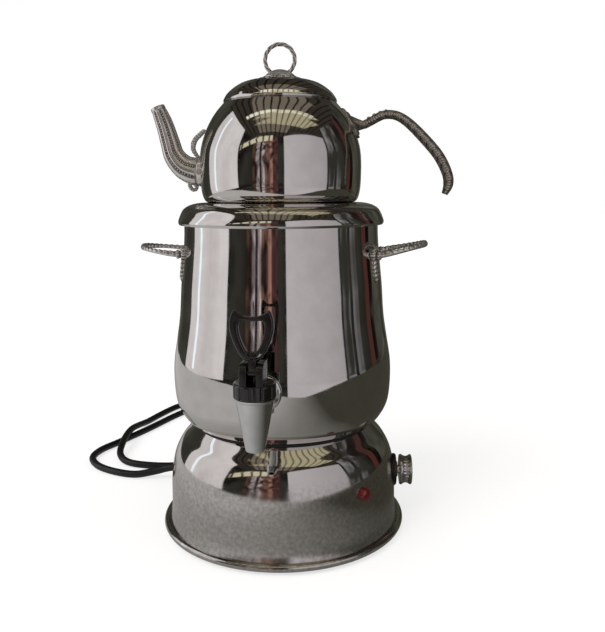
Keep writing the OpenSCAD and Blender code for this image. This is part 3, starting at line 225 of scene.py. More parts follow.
class Blank:
    """A piece under construction: its points in millimetres, its faces and its patina."""

    def __init__(self) -> None:
        """Starts an empty piece."""
        self.points: list[Array] = []
        self.faces: list[list[int]] = []
        self.patina: list[Array] = []
        self.count = 0

    def add(self, points: Array, faces: list[list[int]], patina: float | Array = 0.0) -> None:
        """Adds points and the faces between them.

        Args:
            points: One row per point.
            faces: Lists of point numbers, counted from these points' first.
            patina: How dark the metal is in the low places, from 0 to 1, at all or each point.
        """
        flat = np.asarray(points, float).reshape(-1, 3)
        self.faces.extend([[i + self.count for i in f] for f in faces])
        self.points.append(flat)
        self.patina.append(np.broadcast_to(np.asarray(patina, float).reshape(-1), (len(flat),)).copy())
        self.count += len(flat)

    def rings(self, rings: Array, patina: float | Array = 0.0, loop: bool = False) -> None:
        """Adds a skin over a row of closed rings.

        Args:
            rings: Rings by points by three coordinates.
            patina: As in add, with one value for each point.
            loop: Whether the last ring joins the first. If not, both ends are closed.
        """
        m, n = rings.shape[:2]
        rows = range(m if loop else m - 1)
        faces = [
            [i * n + k, i * n + (k + 1) % n, ((i + 1) % m) * n + (k + 1) % n, ((i + 1) % m) * n + k]
            for i in rows
            for k in range(n)
        ]
        if not loop:
            faces += [list(range(n))[::-1], list(range((m - 1) * n, m * n))]
        self.add(rings, faces, patina)

    def turned(self, loop: Array, sides: int = 192, place: Matrix | None = None,
               carve: Carve | None = None) -> None:
        """Turns a closed section round the Z axis.

        Args:
            loop: The section as radius and height.
            sides: How many steps the turn has.
            place: Where the turned piece goes, if not on the axis.
            carve: Gives the radius, height and patina from the angle, radius and height.
        """
        t = np.broadcast_to(2 * math.pi * np.arange(sides) / sides, (len(loop), sides))
        r, z = np.repeat(loop[:, :1], sides, axis=1), np.repeat(loop[:, 1:], sides, axis=1)
        dark = np.zeros_like(r)
        if carve is not None:
            r, z, dark = carve(t, r, z)
        points = np.stack([r * np.cos(t), r * np.sin(t), z], axis=2)
        if place is not None:
            points = moved(points, place)
        self.rings(points, dark, loop=True)

    def bar(self, line: Array, carve: Carve, sides: int = 48, side: Sequence[float] = (0, 1, 0),
            start: Array | None = None) -> None:
        """Adds a cast bar with an oval section and carving.

        Args:
            line: One row per place: the three coordinates, the half width and the half thickness.
            carve: Gives the depth cut and the patina from the angle, the run in mm and the half thickness.
            sides: How many points each ring has.
            side: The direction of the bar's width.
            start: Rings to put before the bar's own, with a patina of 0.5.
        """
        path, wide, thick = line[:, :3], line[:, 3:4], line[:, 4:5]
        run = run_along(path)[:, None]
        t = 2 * math.pi * np.arange(sides)[None, :] / sides
        cut, dark = carve(t, run, thick)
        scale = 1 - cut / np.minimum(wide, thick)
        shapes = np.stack([wide * np.cos(t) * scale, thick * np.sin(t) * scale], axis=2)
        rings = swept(path, shapes, side)
        dark = np.broadcast_to(dark, rings.shape[:2])
        if start is not None:
            rings = np.concatenate([start, rings])
            dark = np.concatenate([np.full(start.shape[:2], 0.5), dark])
        self.rings(rings, dark)

    def tube(self, path: Array, radius: float | Array, sides: int = 16) -> None:
        """Adds a round bar along a path, of one radius or one for each point."""
        sizes = np.broadcast_to(np.asarray(radius, float), (len(path),))
        self.rings(swept(path, [oval(r, r, sides) for r in sizes]))

    def pearl(self, centre: Sequence[float], radius: float, squash: float = 1.0, sides: int = 12) -> None:
        """Adds a cast bead, bright because wiping reaches it.

        Args:
            centre: Its middle.
            radius: Its radius.
            squash: Its height as a share of its width.
            sides: How many points each of its rings has.
        """
        rows = sides // 2 + 1
        v = math.pi * np.arange(rows) / (rows - 1)
        u = 2 * math.pi * np.arange(sides) / sides
        ring = np.stack(
            [
                np.outer(np.sin(v), np.cos(u)),
                np.outer(np.sin(v), np.sin(u)),
                np.outer(np.cos(v) * squash, np.ones(sides)),
            ],
            axis=2,
        )
        self.rings(np.asarray(centre, float) + radius * ring, 0.12)

    def mesh_of(self, source: bpy.types.Object, place: Matrix) -> None:
        """Adds the finished mesh of a drawn outline, then removes that outline.

        Args:
            source: The drawn outline's object.
            place: Where the mesh goes.
        """
        graph = bpy.context.evaluated_depsgraph_get()
        mesh = bpy.data.meshes.new_from_object(source.evaluated_get(graph))
        points = np.array([v.co for v in mesh.vertices], float).reshape(-1, 3)
        self.add(moved(points, place), [list(p.vertices) for p in mesh.polygons])
        bpy.data.meshes.remove(mesh)
        bpy.data.objects.remove(source)

    def plate(self, outlines: Sequence[Array], thick: float, edge: float, place: Matrix,
              rounds: int = 4) -> None:
        """Adds a flat plate with rounded edges.

        Args:
            outlines: The outside, then any openings, as flat points.
            thick: The plate's thickness, along its own Z, with its middle at zero.
            edge: Radius of the rounding.
            place: Where it goes.
            rounds: How many faces the rounding has.
        """
        curve = bpy.data.curves.new("outline", "CURVE")
        curve.dimensions = "2D"
        curve.fill_mode = "BOTH"
        curve.extrude = thick / 2 - edge
        curve.bevel_depth = edge
        curve.bevel_resolution = rounds
        curve.offset = -edge
        for outline in outlines:
            line = curve.splines.new("POLY")
            line.points.add(len(outline) - 1)
            for point, (x, y) in zip(line.points, outline):
                point.co = (x, y, 0, 1)
            line.use_cyclic_u = True
        drawn = put_in("outline", curve)
        bpy.context.view_layer.update()
        self.mesh_of(drawn, place)
        bpy.data.curves.remove(curve)

    def piece(self, name: str, sharp: float = 40.0) -> bpy.types.Object:
        """Makes the Blender object.

        Args:
            name: The piece's name.
            sharp: Edges that turn by more than this many degrees stay crisp.

        Returns:
            The object, in metres, with its patina as a point attribute.
        """
        mesh = bpy.data.meshes.new(name)
        mesh.from_pydata((np.vstack(self.points) * MM).tolist(), [], self.faces)
        mesh.attributes.new("patina", "FLOAT", "POINT").data.foreach_set(
            "value", np.concatenate(self.patina).astype(np.float32)
        )
        worked = bmesh.new()
        worked.from_mesh(mesh)
        bmesh.ops.remove_doubles(worked, verts=worked.verts, dist=1e-7)
        bmesh.ops.dissolve_degenerate(worked, edges=worked.edges, dist=1e-8)
        bmesh.ops.recalc_face_normals(worked, faces=worked.faces)
        worked.to_mesh(mesh)
        worked.free()
        mesh.polygons.foreach_set("use_smooth", [True] * len(mesh.polygons))
        mesh.set_sharp_from_angle(angle=math.radians(sharp))
        return put_in(name, mesh)

    def finish(self, name: str, body: str, stock: "Stock", node: str | None = None,
               sharp: float = 40.0) -> bpy.types.Object:
        """Makes the Blender object, finished and on its body.

        Args:
            name: The piece's name.
            body: The CAD body that it rides on.
            stock: Its finish.
            node: The CAD node that it replaces.
            sharp: As in piece.

        Returns:
            The object.
        """
        made = self.piece(name, sharp)
        made.data.materials.append(stock.material())
        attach(made, body)
        if node:
            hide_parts(node)
        LOG.info("%s: %s on %s", name, stock.value.name, body)
        return made


def put_in(name: str, data: bpy.types.ID) -> bpy.types.Object:
    """Puts a new object with that data in the scene, and returns it."""
    made = bpy.data.objects.new(name, data)
    bpy.context.scene.collection.objects.link(made)
    return made


def moved(points: Array, place: Matrix) -> Array:
    """Returns points after a placement."""
    m = np.array(place, float)
    return np.asarray(points, float) @ m[:3, :3].T + m[:3, 3]


# ---- Finishes ----


def linear(colour: str) -> tuple[float, float, float, float]:
    """Turns an sRGB hex colour into Blender's linear colour."""
    parts = [int(colour[i : i + 2], 16) / 255 for i in (1, 3, 5)]
    return (*[c / 12.92 if c <= 0.04045 else ((c + 0.055) / 1.055) ** 2.4 for c in parts], 1.0)


def add_node(tree: Tree, kind: str, inputs: dict | None = None,
             **settings: object) -> bpy.types.Node:
    """Adds one node.

    Args:
        tree: The node tree.
        kind: The node's type name.
        inputs: Values, or other nodes' outputs, by socket name or number.
        **settings: The node's own properties.

    Returns:
        The node.
    """
    made = tree.nodes.new(kind)
    for key, value in settings.items():
        setattr(made, key, value)
    for key, value in (inputs or {}).items():
        if isinstance(value, Socket):
            tree.links.new(value, made.inputs[key])
        else:
            made.inputs[key].default_value = value
    return made


@dataclass(frozen=True)
class Finish:
    """A real material and how its surface was made."""

    name: str
    colour: str
    roughness: float
    metallic: float = 0.0
    ior: float = 1.5

    def build(self) -> bpy.types.Material:
        """Makes the material.

        Returns:
            The material, with this finish's detail in its nodes.
        """
        made = bpy.data.materials.new(self.name)
        made.use_nodes = True
        tree = made.node_tree
        shader = tree.nodes["Principled BSDF"]
        shader.inputs["Base Color"].default_value = linear(self.colour)
        shader.inputs["Roughness"].default_value = self.roughness
        shader.inputs["Metallic"].default_value = self.metallic
        if not self.metallic:
            shader.inputs["IOR"].default_value = self.ior
        self.detail(tree, shader)
        return made

    def detail(self, tree: Tree, shader: bpy.types.Node) -> None:
        """Adds what the surface shows close to. Each finish has its own.

        Args:
            tree: The material's node tree.
            shader: Its shader.
        """

    @staticmethod
    def grain(tree: Tree, size: float, depth: float = 2.0) -> Socket:
        """Returns an even grain with marks of that size in millimetres."""
        place = add_node(tree, "ShaderNodeTexCoord").outputs["Object"]
        return add_node(
            tree, "ShaderNodeTexNoise", {"Vector": place, "Scale": 1 / (size * MM), "Detail": depth}
        ).outputs["Fac"]

    @staticmethod
    def spread(tree: Tree, value: Socket, low: float, high: float,
               start: float = 0.3, stop: float = 0.7) -> Socket:
        """Stretches a value to a new range, and holds it within that range.

        Args:
            tree: The node tree.
            value: The value.
            low: What it becomes at start.
            high: What it becomes at stop.
            start: Where the value's used range starts.
            stop: Where it stops.

        Returns:
            The stretched value.
        """
        return add_node(
            tree, "ShaderNodeMapRange",
            {"Value": value, "From Min": start, "From Max": stop, "To Min": low, "To Max": high},
        ).outputs["Result"]

    @staticmethod
    def relief(tree: Tree, shader: bpy.types.Node, height: Socket, deep: float,
               under: Socket | None = None) -> Socket:
        """Raises the surface by a height map.

        Args:
            tree: The node tree.
            shader: The shader that shows it.
            height: The height map, from 0 to 1.
            deep: How deep it is in millimetres.
            under: The relief that it lies on, if any.

        Returns:
            The relief, for another to lie on.
        """
        inputs = {"Height": height, "Distance": deep * MM, "Strength": 1.0}
        if under is not None:
            inputs["Normal"] = under
        out = add_node(tree, "ShaderNodeBump", inputs).outputs["Normal"]
        tree.links.new(out, shader.inputs["Normal"])
        return out


@dataclass(frozen=True)
class PolishedStainless(Finish):
    """Stainless sheet, spun on a former and buffed: a mirror that is never quite flat.

    The eye gets sharp reflections that sway a little, faint rings from the spinning,
    and a dull haze where cloths and hands have rubbed it.
    """

    rubbed: str = "#c6c3bf"
    sway: float = 0.05
    haze_low: float = 0.035
    haze_high: float = 0.08
    scuffed_below: float = 0.0

    def detail(self, tree: Tree, shader: bpy.types.Node) -> None:
        """Adds the sway, the spinning rings and the haze."""
        place = add_node(tree, "ShaderNodeTexCoord").outputs["Object"]
        split = add_node(tree, "ShaderNodeSeparateXYZ", {"Vector": place}).outputs
        flat = add_node(tree, "ShaderNodeCombineXYZ", {"X": split["X"], "Y": split["Y"]}).outputs[0]
        out = add_node(tree, "ShaderNodeVectorMath", {0: flat}, operation="LENGTH").outputs["Value"]
        round_axis = add_node(tree, "ShaderNodeCombineXYZ", {"X": out, "Y": split["Z"]}).outputs[0]
        # Former marks lie about 1.1 mm apart down the wall
        rings = add_node(
            tree, "ShaderNodeTexNoise", {"Vector": round_axis, "Scale": 1 / (1.1 * MM), "Detail": 1.0}
        ).outputs["Fac"]
        # Buffing leaves swells about 45 mm across
        under = self.relief(tree, shader, self.grain(tree, 45, 1.0), self.sway)
        self.relief(tree, shader, rings, 0.0012, under)
        # Cloth marks: smears 14 mm across with fine scratches in them
        smear = self.grain(tree, 14, 6.0)
        haze = self.spread(tree, smear, self.haze_low, self.haze_high)
        tone = add_node(
            tree, "ShaderNodeMix",
            {"Factor": self.spread(tree, smear, 0.0, 1.0), 6: linear(self.rubbed), 7: linear(self.colour)},
            data_type="RGBA",
        ).outputs[2]
        if self.scuffed_below:
            haze, tone = self.scuffed(tree, split["Z"], haze, tone)
        tree.links.new(haze, shader.inputs["Roughness"])
        tree.links.new(tone, shader.inputs["Base Color"])

    def scuffed(self, tree: Tree, height: Socket, haze: Socket,
                tone: Socket) -> tuple[Socket, Socket]:
        """Wears the wall below a line, fading out over its last 14 mm.

        Args:
            tree: The node tree.
            height: The height above the table.
            haze: The roughness so far.
            tone: The colour so far.

        Returns:
            The roughness and the colour with the wear on them.
        """
        fade = (self.scuffed_below - 14) * MM, self.scuffed_below * MM
        duller = self.spread(tree, height, 0.085, 0.0, *fade)
        haze = add_node(tree, "ShaderNodeMath", {0: haze, 1: duller}, operation="ADD").outputs[0]
        # Scratches and dried splashes of 3 mm where hands and cloths wear the wall
        speck = self.spread(tree, self.grain(tree, 3.0, 10.0), 0.0, 0.55, 0.35, 0.75)
        below = self.spread(tree, height, 1.0, 0.0, *fade)
        share = add_node(tree, "ShaderNodeMath", {0: speck, 1: below}, operation="MULTIPLY").outputs[0]
        worn = add_node(
            tree, "ShaderNodeMix", {"Factor": share, 6: tone, 7: linear("#84817c")}, data_type="RGBA"
        )
        return haze, worn.outputs[2]


@dataclass(frozen=True)
class SatinMetal(Finish):
    """Metal left as rolled, turned or pressed: soft streaks and no sharp reflections."""

    mark: float = 1.4

    def detail(self, tree: Tree, shader: bpy.types.Node) -> None:
        """Adds tool marks and patches of duller metal."""
        grain = self.grain(tree, self.mark, 5.0)
        tree.links.new(
            self.spread(tree, grain, self.roughness - 0.07, self.roughness + 0.1), shader.inputs["Roughness"]
        )
        self.relief(tree, shader, grain, 0.003)


@dataclass(frozen=True)
class AntiquedCasting(Finish):
    """Zinc alloy cast in a carved mould, plated, then darkened and wiped.

    The eye gets bright, worn high places and a brown black ground in the carving.
    """

    ground: str = "#1c1917"

    def detail(self, tree: Tree, shader: bpy.types.Node) -> None:
        """Adds the dark ground by the patina that the mesh carries, and the cast grain."""
        low = add_node(tree, "ShaderNodeAttribute", attribute_name="patina").outputs["Fac"]
        # Wiping is uneven over about 2.5 mm
        grain = self.grain(tree, 2.5, 4.0)
        uneven = self.spread(tree, grain, -0.2, 0.1)
        wiped = add_node(tree, "ShaderNodeMath", {0: low, 1: 0.9}, operation="MULTIPLY").outputs[0]
        dark = add_node(
            tree, "ShaderNodeMath", {0: wiped, 1: uneven}, operation="ADD", use_clamp=True
        ).outputs[0]
        tone = add_node(
            tree, "ShaderNodeMix", {"Factor": dark, 6: linear(self.colour), 7: linear(self.ground)},
            data_type="RGBA",
        )
        tree.links.new(tone.outputs[2], shader.inputs["Base Color"])
        tree.links.new(
            self.spread(tree, dark, self.roughness, 0.55, 0.0, 1.0), shader.inputs["Roughness"]
        )
        # Sand of about 0.6 mm prints a soft grain into the casting
        self.relief(tree, shader, self.grain(tree, 0.6, 2.0), 0.008)


@dataclass(frozen=True)
class MouldedPlastic(Finish):
    """Plastic pressed in a polished or textured mould: even colour and a soft skin."""

    skin: float = 0.7
    deep: float = 0.01

    def detail(self, tree: Tree, shader: bpy.types.Node) -> None:
        """Adds the mould's texture and finger marks."""
        self.relief(tree, shader, self.grain(tree, self.skin, 2.0), self.deep)
        marks = self.grain(tree, 9, 4.0)
        tree.links.new(
            self.spread(tree, marks, self.roughness - 0.05, self.roughness + 0.12), shader.inputs["Roughness"]
        )


@dataclass(frozen=True)
class RedLens(Finish):
    """Clear red polycarbonate: dark in its body, bright where light leaves its dome."""

    def detail(self, tree: Tree, shader: bpy.types.Node) -> None:
        """Lets light into the lens and keeps faint flow marks from the mould."""
        shader.inputs["Transmission Weight"].default_value = 0.1
        shader.inputs["Coat Weight"].default_value = 0.4
        self.relief(tree, shader, self.grain(tree, 3.0, 1.0), 0.002)


class Stock(Enum):
    """The finishes on the samovar, by what they are."""

    MIRROR = PolishedStainless("stainless_spun_and_buffed", "#cfcdc9", 0.05, 1.0)
    BASE = PolishedStainless("stainless_spun_scuffed_foot", "#c9c6c1", 0.08, 1.0, scuffed_below=74)
    SATIN = SatinMetal("steel_zinc_plated", "#a7a8a8", 0.36, 1.0)
    TAP = PolishedStainless("brass_casting_satin_nickel", "#d2d3d2", 0.12, 1.0, rubbed="#c2c3c1", sway=0.006,
                            haze_low=0.07, haze_high=0.16)
    SHEATH = SatinMetal("incoloy_sheath_oxidised", "#6f6c66", 0.45, 1.0)
    BRASS = SatinMetal("brass_turned", "#b8963c", 0.28, 1.0)
    CAST = AntiquedCasting("zinc_casting_antiqued", "#d9d5cf", 0.2, 0.85)
    HANDLE = AntiquedCasting("zinc_casting_antiqued_dull", "#b9b1a7", 0.26, 0.9, ground="#28221d")
    CHROME = PolishedStainless("zinc_casting_bright_chrome", "#dcdcd9", 0.06, 1.0, sway=0.004)
    PHENOLIC = MouldedPlastic("phenolic_moulded_black", "#060606", 0.22, ior=1.6, deep=0.003)
    DIAL = MouldedPlastic("abs_moulded_black", "#0c0c0c", 0.38, ior=1.54)
    RUBBER = MouldedPlastic("rubber_moulded_black", "#1a1a1a", 0.68, ior=1.52, skin=0.4)
    FLEX = MouldedPlastic("pvc_extruded_black", "#0e0e0f", 0.40, ior=1.53, skin=5.0, deep=0.03)
    IVORY = MouldedPlastic("urea_moulded_ivory", "#e2dcc8", 0.42, ior=1.55)
    SLEEVE = MouldedPlastic("glass_fibre_sleeve_woven", "#cfc8b4", 0.75, ior=1.5, skin=0.5, deep=0.04)
    PRINT = MouldedPlastic("enamel_print_white", "#e6e4de", 0.5, ior=1.5)
    LENS = RedLens("polycarbonate_clear_red", "#5c0a10", 0.10, ior=1.58)

    def material(self) -> bpy.types.Material:
        """Returns this finish's material, which is made once."""
        return bpy.data.materials.get(self.value.name) or self.value.build()


def dress_nodes(nodes: dict[str, Stock]) -> None:
    """Gives CAD nodes that stay as they are their real finish.

    Args:
        nodes: The finish of each node, by its name.
    """
    for name, stock in nodes.items():
        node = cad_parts[name]
        node.data.materials.clear()
        node.data.materials.append(stock.material())
        node.data.polygons.foreach_set("use_smooth", [True] * len(node.data.polygons))
        node.data.set_sharp_from_angle(angle=math.radians(30))
        LOG.info("%s: %s", name, stock.value.name)


# ---- The stack's shared sizes ----


@dataclass(frozen=True)
class Stack:
    """The sizes that the pieces share, as the CAD source has them."""

    base_h: float = 97.0
    seat_t: float = 1.5
    urn_h: float = 182.5
    ring_h: float = 10.0
    pot_h: float = 84.0
    dome_h: float = 18.0
    neck_r: float = 84.0
    pot_floor_r: float = 62.0
    mouth_r: float = 44.5
    slide_gap: float = 0.6

    @property
    def urn_z(self) -> float:
        """Height of the urn's floor."""
        return self.base_h + self.seat_t

    @property
    def rim_z(self) -> float:
        """Height of the urn's rim."""
        return self.urn_z + self.urn_h

    @property
    def pot_z(self) -> float:
        """Height of the teapot's bottom."""
        return self.rim_z + self.ring_h

    @property
    def mouth_z(self) -> float:
        """Height of the teapot's mouth."""
        return self.pot_z + self.pot_h

    @property
    def dome_z(self) -> float:
        """Height of the top of the lid's dome."""
        return self.mouth_z + self.dome_h


STACK = Stack()


# ---- Base, controls and cord ----


@dataclass
class HeaterBase:
    """The spun base with its controls, plate and foot."""

    bead_r: float = 110.0
    bead_d: float = 6.5
    wall_r: float = 101.5
    lip_r: float = 79.0
    wall: float = 1.0
    foot_gap: float = 2.5
    knob_z: float = 47.0
    knob_turn: float = 5.0
    knob_r: float = 13.8
    knob_len: float = 11.0
    dial_r: float = 14.5
    dial_t: float = 1.8
    lamp_z: float = 54.0
    lamp_turn: float = -41.0
    lamp_r: float = 5.5
    relief_turn: float = 150.0
    relief_len: float = 22.0
    relief_r: float = 6.0
    cord_d: float = 7.6

    def outline(self) -> Array:
        """Returns the outside of the base's wall."""
        h, r, lip = STACK.base_h, self.wall_r, self.lip_r
        return faired(
            [
                [self.bead_r - 0.75 * self.bead_d, self.foot_gap + 0.9 * self.bead_d],
                [r + 1.7, self.foot_gap + self.bead_d + 7],
                [r + 0.9, 0.25 * h],
                [r + 0.2, 0.5 * h],
                [r - 3, 0.7 * h],
                [r - 9.5, 0.84 * h],
                [lip + 0.45 * (r - 9.5 - lip), 0.925 * h],
                [lip, h],
            ],
            rounds=10,
        )

    def wall_at(self, z: float) -> float:
        """Returns the wall's outer radius at a height."""
        line = self.outline()
        return float(np.interp(z, line[:, 1], line[:, 0]))

    @property
    def relief_z(self) -> float:
        """Height of the strain relief's axis."""
        return self.foot_gap + self.bead_d + 8

    def build_shell(self) -> None:
        """Builds the wall, its rolled bead, ledge and seat."""
        made = Blank()
        made.turned(sheet_loop(self.outline(), self.wall), 256)
        middle = np.array([self.bead_r - self.bead_d / 2, self.foot_gap + self.bead_d / 2])
        made.turned(middle + oval(self.bead_d / 2, self.bead_d / 2, 40), 256)
        plate_top = self.foot_gap + self.bead_d - 1.5
        inner = self.bead_r - self.bead_d
        made.turned(box_loop(inner - 6, inner + 1, plate_top, plate_top + self.wall))
        made.turned(box_loop(self.lip_r - 9, self.lip_r, STACK.base_h - self.wall, STACK.base_h))
        made.finish("base_shell_spun", "stand", Stock.BASE, "base_shell")

    def on_dial(self, up: float) -> Matrix:
        """Returns the placement at a height over the wall where the dial is."""
        return outward(self.knob_turn, self.wall_at(self.knob_z) + up, self.knob_z)

    def build_dial(self) -> None:
        """Builds the dial plate and its printed scale."""
        made = Blank()
        edge = self.dial_r
        made.turned(
            np.array([[5.2, 0.2], [edge - 0.3, -1.6], [edge, -1.2], [edge, 0.9], [edge - 0.7, self.dial_t],
                      [edge - 2.2, self.dial_t], [edge - 2.5, self.dial_t - 0.25], [9.2, self.dial_t - 0.25],
                      [8.9, self.dial_t], [5.2, self.dial_t]]),
            96, self.on_dial(0))
        made.finish("dial_plate_moulded", "stand", Stock.DIAL, "dial_plate")
        # Printed scale: marks every 30 degrees over 270, with a long one at each end
        marks = Blank()
        for k in range(10):
            turn = math.radians(135 + 30 * k - 180)
            half = 0.9 if k in (0, 9) else 0.6
            bar = np.array([[9.6, -0.35], [9.6 + 2 * half, -0.35], [9.6 + 2 * half, 0.35], [9.6, 0.35]])
            spin = Matrix.Translation((0, 0, self.dial_t - 0.28)) @ Matrix.Rotation(turn, 4, "Z")
            marks.plate([bar], 0.16, 0.05, self.on_dial(0) @ spin, 1)
        marks.finish("dial_scale_print", "stand", Stock.PRINT)

    def build_knob(self) -> None:
        """Builds the knob with its hub, grip flutes and pointer line."""
        knob = Blank()
        hub_up = self.dial_t + 1.5 + 0.3
        crown_up = hub_up + 1.5
        r, length = self.knob_r, self.knob_len
        knob.turned(box_loop(3.05, 4, 0, 2), 48, self.on_dial(hub_up))
        # Skirt, waist and flared crown, with 24 grip flutes round the waist
        section = smooth_curve(
            [[3.0, 0.0], [r - 1.4, 0.0], [r - 0.2, 0.7], [r, 1.8], [r - 0.9, 3.2], [r - 1.6, 5.2],
             [r - 1.3, 7.4], [r - 0.3, 9.2], [r, length - 0.9], [r - 0.7, length - 0.1],
             [r - 2.0, length - 0.1], [r - 3.1, length - 0.9], [4.0, length - 0.9], [0.01, length - 0.7]], 5)
        loop = np.vstack([section, [[0.01, 0.45 * length], [3.0, 0.45 * length]]])

        def grip(turn: Array, out: Array, z: Array) -> tuple:
            """Cuts flutes between the skirt and the crown."""
            inside = np.clip((z - 2.4) / 1.2, 0, 1) * np.clip((length - 1.8 - z) / 1.2, 0, 1)
            deep = inside * wave(24 * turn / (2 * math.pi)) * (out > 5)
            return out * (1 - 0.035 * deep), z, deep

        knob.turned(loop, 240, self.on_dial(crown_up), grip)
        knob.finish("control_knob_chromed", "knob", Stock.CHROME, "control_knob")
        pointer = Blank()
        place = self.on_dial(crown_up + length - 0.86)
        bar = np.array([[-0.7, -0.6], [r - 3.8, -0.6], [r - 3.8, 0.6], [-0.7, 0.6]])
        pointer.plate([bar], 0.3, 0.1, place @ Matrix.Rotation(math.pi, 4, "Z"), 1)
        pointer.finish("knob_pointer_line", "knob", Stock.DIAL)

    def build_lens(self) -> None:
        """Builds the domed pilot lens with its stub in the wall."""
        lens = Blank()
        r = self.lamp_r
        dome = quarter_oval((0, 2.7), r, 2.7, 14)
        section = np.array([[0.01, -1.4], [4.7, -1.4], [4.7, -0.3], [r, -0.3], [r, 0.6], *dome])
        lens.turned(section, 72, outward(self.lamp_turn, self.wall_at(self.lamp_z), self.lamp_z))
        lens.finish("pilot_lens_moulded", "stand", Stock.LENS, "pilot_lens")

    def dress(self) -> None:
        """Finishes the CAD nodes of the base that stay as they are."""
        dress_nodes({
            "base_plate": Stock.SATIN, "foot_ring": Stock.RUBBER, "tie_studs": Stock.SATIN,
            "tie_nuts": Stock.SATIN, "seat_gasket": Stock.RUBBER, "thermostat_body": Stock.DIAL,
            "thermostat_nut": Stock.BRASS, "thermostat_shaft": Stock.SATIN, "lamp_body": Stock.DIAL,
            "sensor_clip": Stock.SATIN, "terminal_block": Stock.IVORY, "heating_element": Stock.SHEATH,
            "element_gaskets": Stock.RUBBER, "element_nuts": Stock.BRASS,
            "handle_screws": Stock.SATIN,
        })

    def build(self) -> None:
        """Builds the base and its controls."""
        self.build_shell()
        self.build_dial()
        self.build_knob()
        self.build_lens()
        self.dress()


